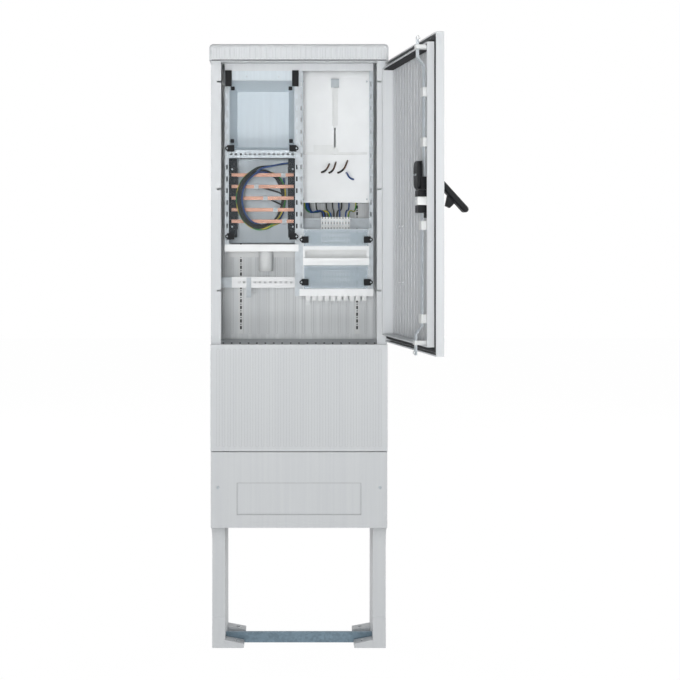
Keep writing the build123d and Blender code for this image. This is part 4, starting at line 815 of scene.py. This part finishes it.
class BOARD_OT_screws(bpy.types.Operator):
    """Set the screws of the plinth, the panels, the holders, the clamps and the latches"""

    bl_idname = "board.set_screws"
    bl_label = "Set the screws"

    def execute(self, context):
        sizes = context.scene.board_sizes
        head = sizes.small_screw
        plinth_x = 0.270
        plinth_z = 0.556
        plinth = []
        for x in (-plinth_x, plinth_x):
            front = (x, low("plinth_front_cover")[1], plinth_z)
            rear = (x, high("plinth_rear_cover")[1], plinth_z)
            plinth.append(screw(front, FORWARD, sizes.large_screw))
            plinth.append(screw(rear, -FORWARD, sizes.large_screw))
        piece("plinth_screws", plinth, "zinc_plate")
        small = []
        box_screw_z = 1.936
        for x in (-0.178, -0.069):
            small.append(screw((x, low("upper_box")[1], box_screw_z), FORWARD, head))
        # Each node's screws stand this far in from its sides and its ends, turned by an angle
        for node, side_inset, end_inset, turn in (
            ("meter_panel", 0.012, 0.012, 0.4),
            ("busbar_holders", 0.017, 0.007, 0.7),
        ):
            node_low, node_high = ends(node)
            for x in (node_low[0] + side_inset, node_high[0] - side_inset):
                for z in (node_low[2] + end_inset, node_high[2] - end_inset):
                    small.append(screw((x, node_low[1], z), FORWARD, head, turn))
        bracket_low, bracket_high = ends("clamp_rail_bracket")
        bracket_inset = 0.02
        for share in (0.3, 0.7):
            z = bracket_low[2] + share * (bracket_high[2] - bracket_low[2])
            small.append(screw((bracket_low[0] + bracket_inset, bracket_low[1], z), FORWARD, head, share))
        piece("panel_screws", small, "zinc_plate")
        clamp_front = low("busbar_clamps")[1]
        clamp_rise = 4.2 * MM
        clamps = []
        for x, z in zip(CLAMP_PLACES, BAR_LEVELS):
            for rise in (-clamp_rise, clamp_rise):
                clamps.append(screw((x, clamp_front, z + rise), FORWARD, 0.9 * head, x * 90))
        piece("clamp_screws", clamps, "zinc_plate")
        for item in frame["joints"]:
            latch = item["child"]
            if "latch" in latch:
                place = (item["pos_m"][0], low(latch)[1], item["pos_m"][2])
                latch_screw = screw(place, FORWARD, 0.9 * head, place[0] * 50)
                piece(f"{latch}_screw", [latch_screw], "zinc_plate", latch)
        return {"FINISHED"}


class BOARD_OT_terminals(bpy.types.Operator):
    """Set the screws into the faces of the terminals, and flat dark discs that paint the shade in their holes"""

    bl_idname = "board.set_terminals"
    bl_label = "Set the terminals' sockets"

    def execute(self, context):
        radius = context.scene.board_sizes.terminal_screw
        face = low("terminal_blocks")[1]
        first = low("terminal_blocks")[0] + 4.8 * MM
        per_row = 10
        screw_rises = np.array([-5.5, 5.5]) * MM
        hole_rises = np.array([-17.3, 0, 17.3]) * MM
        rim = np.array([(1, 0), (1, 0.3), (0.82, 0.36), (0.6, 0.2), (0, 0.1)]) * radius
        # Painted shade: a flat dark disc on the face stands for each hole and the shade inside it
        shade_disc = np.array([(0.85, 0), (0.85, 0.12), (0, 0.12)]) * radius
        heads = []
        hole_shades = []
        for middle in TERMINAL_LEVELS:
            for step in range(per_row):
                x = first + TERMINAL_PITCH * step
                for rise in screw_rises:
                    heads.append(lathe(rim, (x, face, middle + rise), FORWARD, 12))
                for rise in hole_rises:
                    hole_shades.append(lathe(shade_disc, (x, face, middle + rise), FORWARD, 8))
        piece("terminal_screws", heads, "zinc_plate")
        piece("terminal_sockets", hole_shades, "moulded_polyamide")
        return {"FINISHED"}


class BOARD_OT_pads(bpy.types.Operator):
    """Put the black pads on the corners of the upper clear cover"""

    bl_idname = "board.put_pads"
    bl_label = "Put the corner pads"

    def execute(self, context):
        half = context.scene.board_sizes.pad
        half_thick = 3.5 * MM
        pad_y = low("left_clear_covers")[1] - 1.5 * MM
        pads = []
        for x, z in ((-0.224, 1.894), (-0.029, 1.894), (-0.226, 1.716), (-0.027, 1.716)):
            pads.append(rounded_block((x, pad_y, z), (half, half_thick, half)))
        piece("cover_pads", pads, "moulded_polyamide")
        return {"FINISHED"}


class BOARD_OT_strips(bpy.types.Operator):
    """Fit the panel's head, the painted shade behind the rails, the holders' heads, the sill's clips and two
    plates
    """

    bl_idname = "board.fit_strips"
    bl_label = "Fit the strips"

    def execute(self, context):
        self.head_panel()
        self.paint_rail_shade()
        self.head_holders()
        self.clip_sill()
        self.close_bays()
        return {"FINISHED"}

    def head_panel(self):
        """A strip on top of the meter panel, as wide and as thick as it is."""
        panel_low, panel_high = ends("meter_panel")
        head_tall = 31 * MM
        middle = (panel_low + panel_high) / 2
        middle[2] = panel_high[2] + head_tall / 2
        half = (panel_high - panel_low) / 2
        half[2] = head_tall / 2
        piece("panel_head", [rounded_block(middle, half, power=0.06)], "stove_enamel")

    def paint_rail_shade(self):
        """Painted shade: a dark strip behind each rear rail's slots, and a dark dot that paints each round hole
        between them with the shade in it.
        """
        rails_low, rails_high = ends("rear_mounting_rails")
        rail_middle = (rails_low[2] + rails_high[2]) / 2
        shade_y = rails_high[1] - 9 * MM
        shade_half = (6.8 * MM, 0.6 * MM, (rails_high[2] - rails_low[2]) / 2 - 2 * MM)
        rail_shade_pieces = []
        for x in (-RAIL_X, RAIL_X):
            rail_shade_pieces.append(rounded_block((x, shade_y, rail_middle), shade_half, power=0.06))
        # The slots are 24 mm apart from 1069 mm up, and the dots of painted shade for the holes stand half way
        # between them
        dot = np.array([(2.4, 0), (2.4, 0.15), (0, 0.15)]) * MM
        dot_y = rails_high[1] - 12 * MM
        for z in np.arange(1081, 1930, 24) * MM:
            for x in (-RAIL_X, RAIL_X):
                rail_shade_pieces.append(lathe(dot, (x, dot_y, z), FORWARD, 10))
        piece("rail_linings", rail_shade_pieces, "moulded_polyamide")

    def head_holders(self):
        """A block above and one below each bar holder."""
        holder_low, holder_high = ends("busbar_holders")
        inset = 17 * MM
        overlap = 2 * MM
        half = (16 * MM, 11 * MM, 16 * MM)
        heads = []
        for x in (holder_low[0] + inset, holder_high[0] - inset):
            for z in (holder_high[2] + half[2] - overlap, holder_low[2] - half[2] + overlap):
                heads.append(rounded_block((x, holder_low[1] + half[1], z), half, power=0.15))
        piece("holder_heads", heads, "moulded_polyamide")

    def clip_sill(self):
        """A row of small clips along the top of the lower front panel."""
        sill = high("lower_front_panel")
        half = (3 * MM, 3 * MM, 2 * MM)
        clips = []
        for x in np.linspace(-0.255, 0.255, 19):
            clips.append(rounded_block((x, sill[1] - 5 * MM, sill[2] + 1.2 * MM), half))
        piece("sill_clips", clips, "moulded_polyamide")

    def close_bays(self):
        """A strip over both columns and a plate behind the gap in the row frame."""
        bay_low, bay_high = ends("module_uprights")
        strip_half = ((bay_high[0] - bay_low[0]) / 2, 2 * MM, 17 * MM)
        strip_middle = (0, bay_low[1] + strip_half[1], bay_high[2] + strip_half[2])
        strip = rounded_block(strip_middle, strip_half, power=0.05)
        piece("closing_strip", [strip], "moulded_polyester")
        rows_low, rows_high = ends("row_frame")
        plate_half = ((rows_high[0] - rows_low[0]) / 2, 1.5 * MM, 24 * MM)
        plate_middle = (rows_low + rows_high) / 2 + (0, 0, 17 * MM)
        plate_middle[1] = rows_high[1] + 30 * MM
        plate = rounded_block(plate_middle, plate_half, power=0.05)
        piece("row_back_plate", [plate], "pale_thermoplastic")


class BOARD_OT_mouldings(bpy.types.Operator):
    """Lay the hood's ribs and seal and the dark lines of painted shade round the field on the plinth's cover"""

    bl_idname = "board.lay_mouldings"
    bl_label = "Lay the mouldings"

    def execute(self, context):
        hood_low, hood_high = ends("roof_hood")
        rib_pitch = 16.8
        rib_half = (4.2 * MM, 1.6 * MM, 19 * MM)
        rib_z = (hood_low[2] + hood_high[2]) / 2 - 1 * MM
        ribs = []
        for x in np.arange(-16, 17) * rib_pitch * MM:
            ribs.append(rounded_block((x, hood_low[1], rib_z), rib_half, power=0.35))
        piece("hood_ribs", ribs, "moulded_polyester")
        seal_half = (hood_high[0] - 8 * MM, 2 * MM, 1.2 * MM)
        seals = []
        for y in (hood_low[1] + 3 * MM, hood_high[1] - 3 * MM):
            seals.append(rounded_block((0, y, hood_low[2]), seal_half, power=0.1))
        piece("hood_seal", seals, "sponge_rubber")
        # Painted shade: thin dark lines round the field on the plinth's cover stand for the shade at its sunk
        # edges
        cover_y = low("plinth_front_cover")[1]
        left, right, bottom, top = PLINTH_FIELD
        line = 0.55 * MM
        depth = 0.35 * MM
        shade_lines = []
        for x in (left, right):
            place = (x, cover_y, (bottom + top) / 2)
            shade_lines.append(rounded_block(place, (line, depth, (top - bottom) / 2), power=0.2))
        for z in (bottom, top):
            place = ((left + right) / 2, cover_y, z)
            shade_lines.append(rounded_block(place, ((right - left) / 2, depth, line), power=0.2))
        piece("plinth_score", shade_lines, "scored_polyester")
        return {"FINISHED"}


class BOARD_OT_door_trim(bpy.types.Operator):
    """Glue the black foam strip under the door's top rim, which also paints the shade there, and fit the lock's
    jaws, bolt, screws and rollers
    """

    bl_idname = "board.trim_door"
    bl_label = "Trim the door"

    def execute(self, context):
        sizes = context.scene.board_sizes
        hinge = np.array(joint("door_swing")["pos_m"])
        along = np.array(joint("handle_lift")["axis"])
        out = np.cross(UP, along)
        out *= np.sign(out[0])
        axes = (along, out, UP)
        rim_top = 1.944

        def at(s, n, z):
            """A place on the door: s from the hinge and n out of the leaf in millimetres, z up in metres."""
            return np.array([hinge[0], hinge[1], 0]) + s * MM * along + n * MM * out + z * UP

        def block(s, n, z, half, power):
            """A soft-edged block at a place on the door, with its half sizes in millimetres."""
            return rounded_block(at(s, n, z), np.array(half) * MM, axes, power)

        # A black foam strip under the top rim: a real seal, whose black also paints the shade under the rim
        strips = []
        for near, far in ((44, 494), (524, 546)):
            half = ((far - near) / 2, 16.5, sizes.strip / MM / 2)
            strips.append(block((near + far) / 2, -6, rim_top - sizes.strip / 2, half, 0.12))
        piece("top_seal_strip", strips, "sponge_rubber", "door")
        cover = block(503, -40.5, 1.566, (24, 8, 41), 0.5)
        upper_jaw = block(512, -31.5, 1.511, (18, 14.5, 9), 0.16)
        lower_jaw = block(512, -31.5, 1.466, (18, 14.5, 11), 0.16)
        piece("lock_jaws", [cover, upper_jaw, lower_jaw], "moulded_polyamide", "door")
        bolt = block(511, -32, 1.4895, (17, 15.5, 12.5), 0.14)
        piece("lock_bolt", [bolt], "pale_thermoplastic", "door")
        heads = [screw(at(512, -47.3, z), -out, sizes.small_screw, z) for z in (1.4835, 1.4955)]
        heads += [screw(at(503 + side, -47.6, 1.566), -out, sizes.small_screw, side) for side in (-9, 9)]
        piece("lock_screws", heads, "zinc_plate", "door")
        # A barrel across each rod's end, a little inside it
        barrel = np.array([(0, -6), (4.5, -6), (5.3, -5), (5.3, 5), (4.5, 6), (0, 6)]) * MM
        inset = 6 * MM
        for rod, s, z in (
            ("upper_rod", 517, high("upper_rod")[2] - inset),
            ("lower_rod", 483, low("lower_rod")[2] + inset),
        ):
            roller = lathe(barrel, at(s, -42.5, z), along, 24)
            piece(f"{rod}_roller", [roller], "pale_thermoplastic", rod)
        return {"FINISHED"}


class BOARD_OT_stage(bpy.types.Operator):
    """Set up the floor, the lamps, the world and the camera"""

    bl_idname = "board.set_stage"
    bl_label = "Set the stage"

    def execute(self, context):
        studio = context.scene.board_studio
        scene = context.scene
        scene.view_settings.view_transform = "Standard"
        scene.world = self.world(studio)
        self.floor()
        self.lamp("key_lamp", (-2.6, -5.4, 3.4), (0, 0, 1.2), 2.2, studio.key)
        self.lamp("side_lamp", (3.4, -3.8, 2.2), (0, 0, 1.2), 2.4, studio.side)
        front = self.lamp("front_lamp", (-0.35, -6.4, 1.3), (0, 0, 1.2), 1.2, studio.front)
        bounce = self.lamp("bounce_lamp", (-0.1, -3.2, 0.3), (0, 0.1, 2.05), 0.8, studio.bounce)
        bounce.data.spread = math.radians(40)
        self.lamp("rear_lamp_left", (-4.6, 4.2, 2.6), (0, 0, 1.1), 2.4, studio.rear)
        self.lamp("rear_lamp_right", (4.8, 3.8, 2.4), (0, 0, 1.1), 2.4, studio.rear)
        for lamp in (front, bounce):
            lamp.visible_glossy = False
        view = bpy.data.cameras.new("camera")
        view.lens = studio.lens
        view.sensor_width = 36
        view.shift_x = studio.shift_x
        view.shift_y = studio.shift_y
        camera = bpy.data.objects.new("camera", view)
        camera.location = (0, -studio.distance, studio.eye_level)
        camera.rotation_euler = (math.radians(90), 0, 0)
        scene.collection.objects.link(camera)
        scene.camera = camera
        return {"FINISHED"}

    def seen(self, tree):
        """A factor of 1 where a camera, mirror or glass ray looks at the surface."""
        path = add_node(tree, "ShaderNodeLightPath")
        factor = path.outputs["Is Camera Ray"]
        for ray in ("Is Glossy Ray", "Is Transmission Ray"):
            either = add_node(
                tree,
                "ShaderNodeMath",
                settings={"operation": "MAXIMUM"},
                links={0: factor, 1: path.outputs[ray]},
            )
            factor = either.outputs["Value"]
        return factor

    def world(self, studio):
        """A white surround that is seen at full strength and lights the board at the ambient strength."""
        world = bpy.data.worlds.new("white_surround")
        world.use_nodes = True
        tree = world.node_tree
        level = add_node(
            tree,
            "ShaderNodeMapRange",
            inputs={"To Min": studio.ambient, "To Max": 1.0},
            links={"Value": self.seen(tree)},
        )
        background = tree.nodes["Background"]
        background.inputs["Color"].default_value = (1, 1, 1, 1)
        tree.links.new(level.outputs["Result"], background.inputs["Strength"])
        return world

    def floor(self):
        """A wide pale floor. Seen directly it is white, and a little dimmer in the board's shadow."""
        half = 14.0
        glow_share = 0.97
        # A little over 1, to make up for the floor's own share
        glow_strength = 1.015
        mesh = bpy.data.meshes.new("floor")
        corners = [(-half, -half, 0), (half, -half, 0), (half, half, 0), (-half, half, 0)]
        mesh.from_pydata(corners, [], [(0, 1, 2, 3)])
        material = bpy.data.materials.new("pale_floor")
        material.use_nodes = True
        tree = material.node_tree
        shader = tree.nodes["Principled BSDF"]
        shader.inputs["Base Color"].default_value = linear("#f4f4f3")
        shader.inputs["Roughness"].default_value = 0.9
        glow = add_node(
            tree, "ShaderNodeEmission", inputs={"Color": (1, 1, 1, 1), "Strength": glow_strength}
        )
        share = add_node(
            tree,
            "ShaderNodeMapRange",
            inputs={"To Min": 0.0, "To Max": glow_share},
            links={"Value": self.seen(tree)},
        )
        mixed = add_node(
            tree,
            "ShaderNodeMixShader",
            links={0: share.outputs["Result"], 1: shader.outputs["BSDF"], 2: glow.outputs["Emission"]},
        )
        tree.links.new(mixed.outputs["Shader"], tree.nodes["Material Output"].inputs["Surface"])
        mesh.materials.append(material)
        floor = bpy.data.objects.new("floor", mesh)
        bpy.context.scene.collection.objects.link(floor)

    def lamp(self, name, place, aim, size, power):
        """A square soft lamp at a place, turned to a point."""
        light = bpy.data.lights.new(name, "AREA")
        light.size = size
        light.energy = power
        lamp = bpy.data.objects.new(name, light)
        lamp.location = place
        away = np.subtract(place, aim)
        flat = math.hypot(away[0], away[1])
        lamp.rotation_euler = (math.atan2(flat, away[2]), 0, math.atan2(away[0], -away[1]))
        bpy.context.scene.collection.objects.link(lamp)
        return lamp


class BOARD_PT_panel(bpy.types.Panel):
    """Lists the operators and the values in the sidebar"""

    bl_label = "Distribution board"
    bl_idname = "BOARD_PT_panel"
    bl_space_type = "VIEW_3D"
    bl_region_type = "UI"
    bl_category = "Board"

    def draw(self, context):
        for operator in OPERATORS:
            self.layout.operator(operator.bl_idname)
        for name in PROPERTY_SETS:
            group = getattr(context.scene, name)
            for key in group.__annotations__:
                self.layout.prop(group, key)


PROPERTY_SETS = {"board_colours": BoardColours, "board_sizes": BoardSizes, "board_studio": StudioSettings}
OPERATORS = (
    BOARD_OT_housing,
    BOARD_OT_coil,
    BOARD_OT_wires,
    BOARD_OT_screws,
    BOARD_OT_terminals,
    BOARD_OT_pads,
    BOARD_OT_strips,
    BOARD_OT_mouldings,
    BOARD_OT_door_trim,
    BOARD_OT_stage,
)
CLASSES = (*PROPERTY_SETS.values(), *OPERATORS, BOARD_PT_panel)


def register():
    """Register the classes and hang the property sets on the scene."""
    for item in CLASSES:
        bpy.utils.register_class(item)
    for name, group in PROPERTY_SETS.items():
        setattr(bpy.types.Scene, name, bpy.props.PointerProperty(type=group))


def unregister():
    """Take the property sets off the scene and unregister the classes."""
    for name in PROPERTY_SETS:
        delattr(bpy.types.Scene, name)
    for item in reversed(CLASSES):
        bpy.utils.unregister_class(item)


def main():
    """Dress the board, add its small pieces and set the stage."""
    register()
    for operator in OPERATORS:
        group, name = operator.bl_idname.split(".")
        getattr(getattr(bpy.ops, group), name)()


if __name__ == "__main__":
    main()
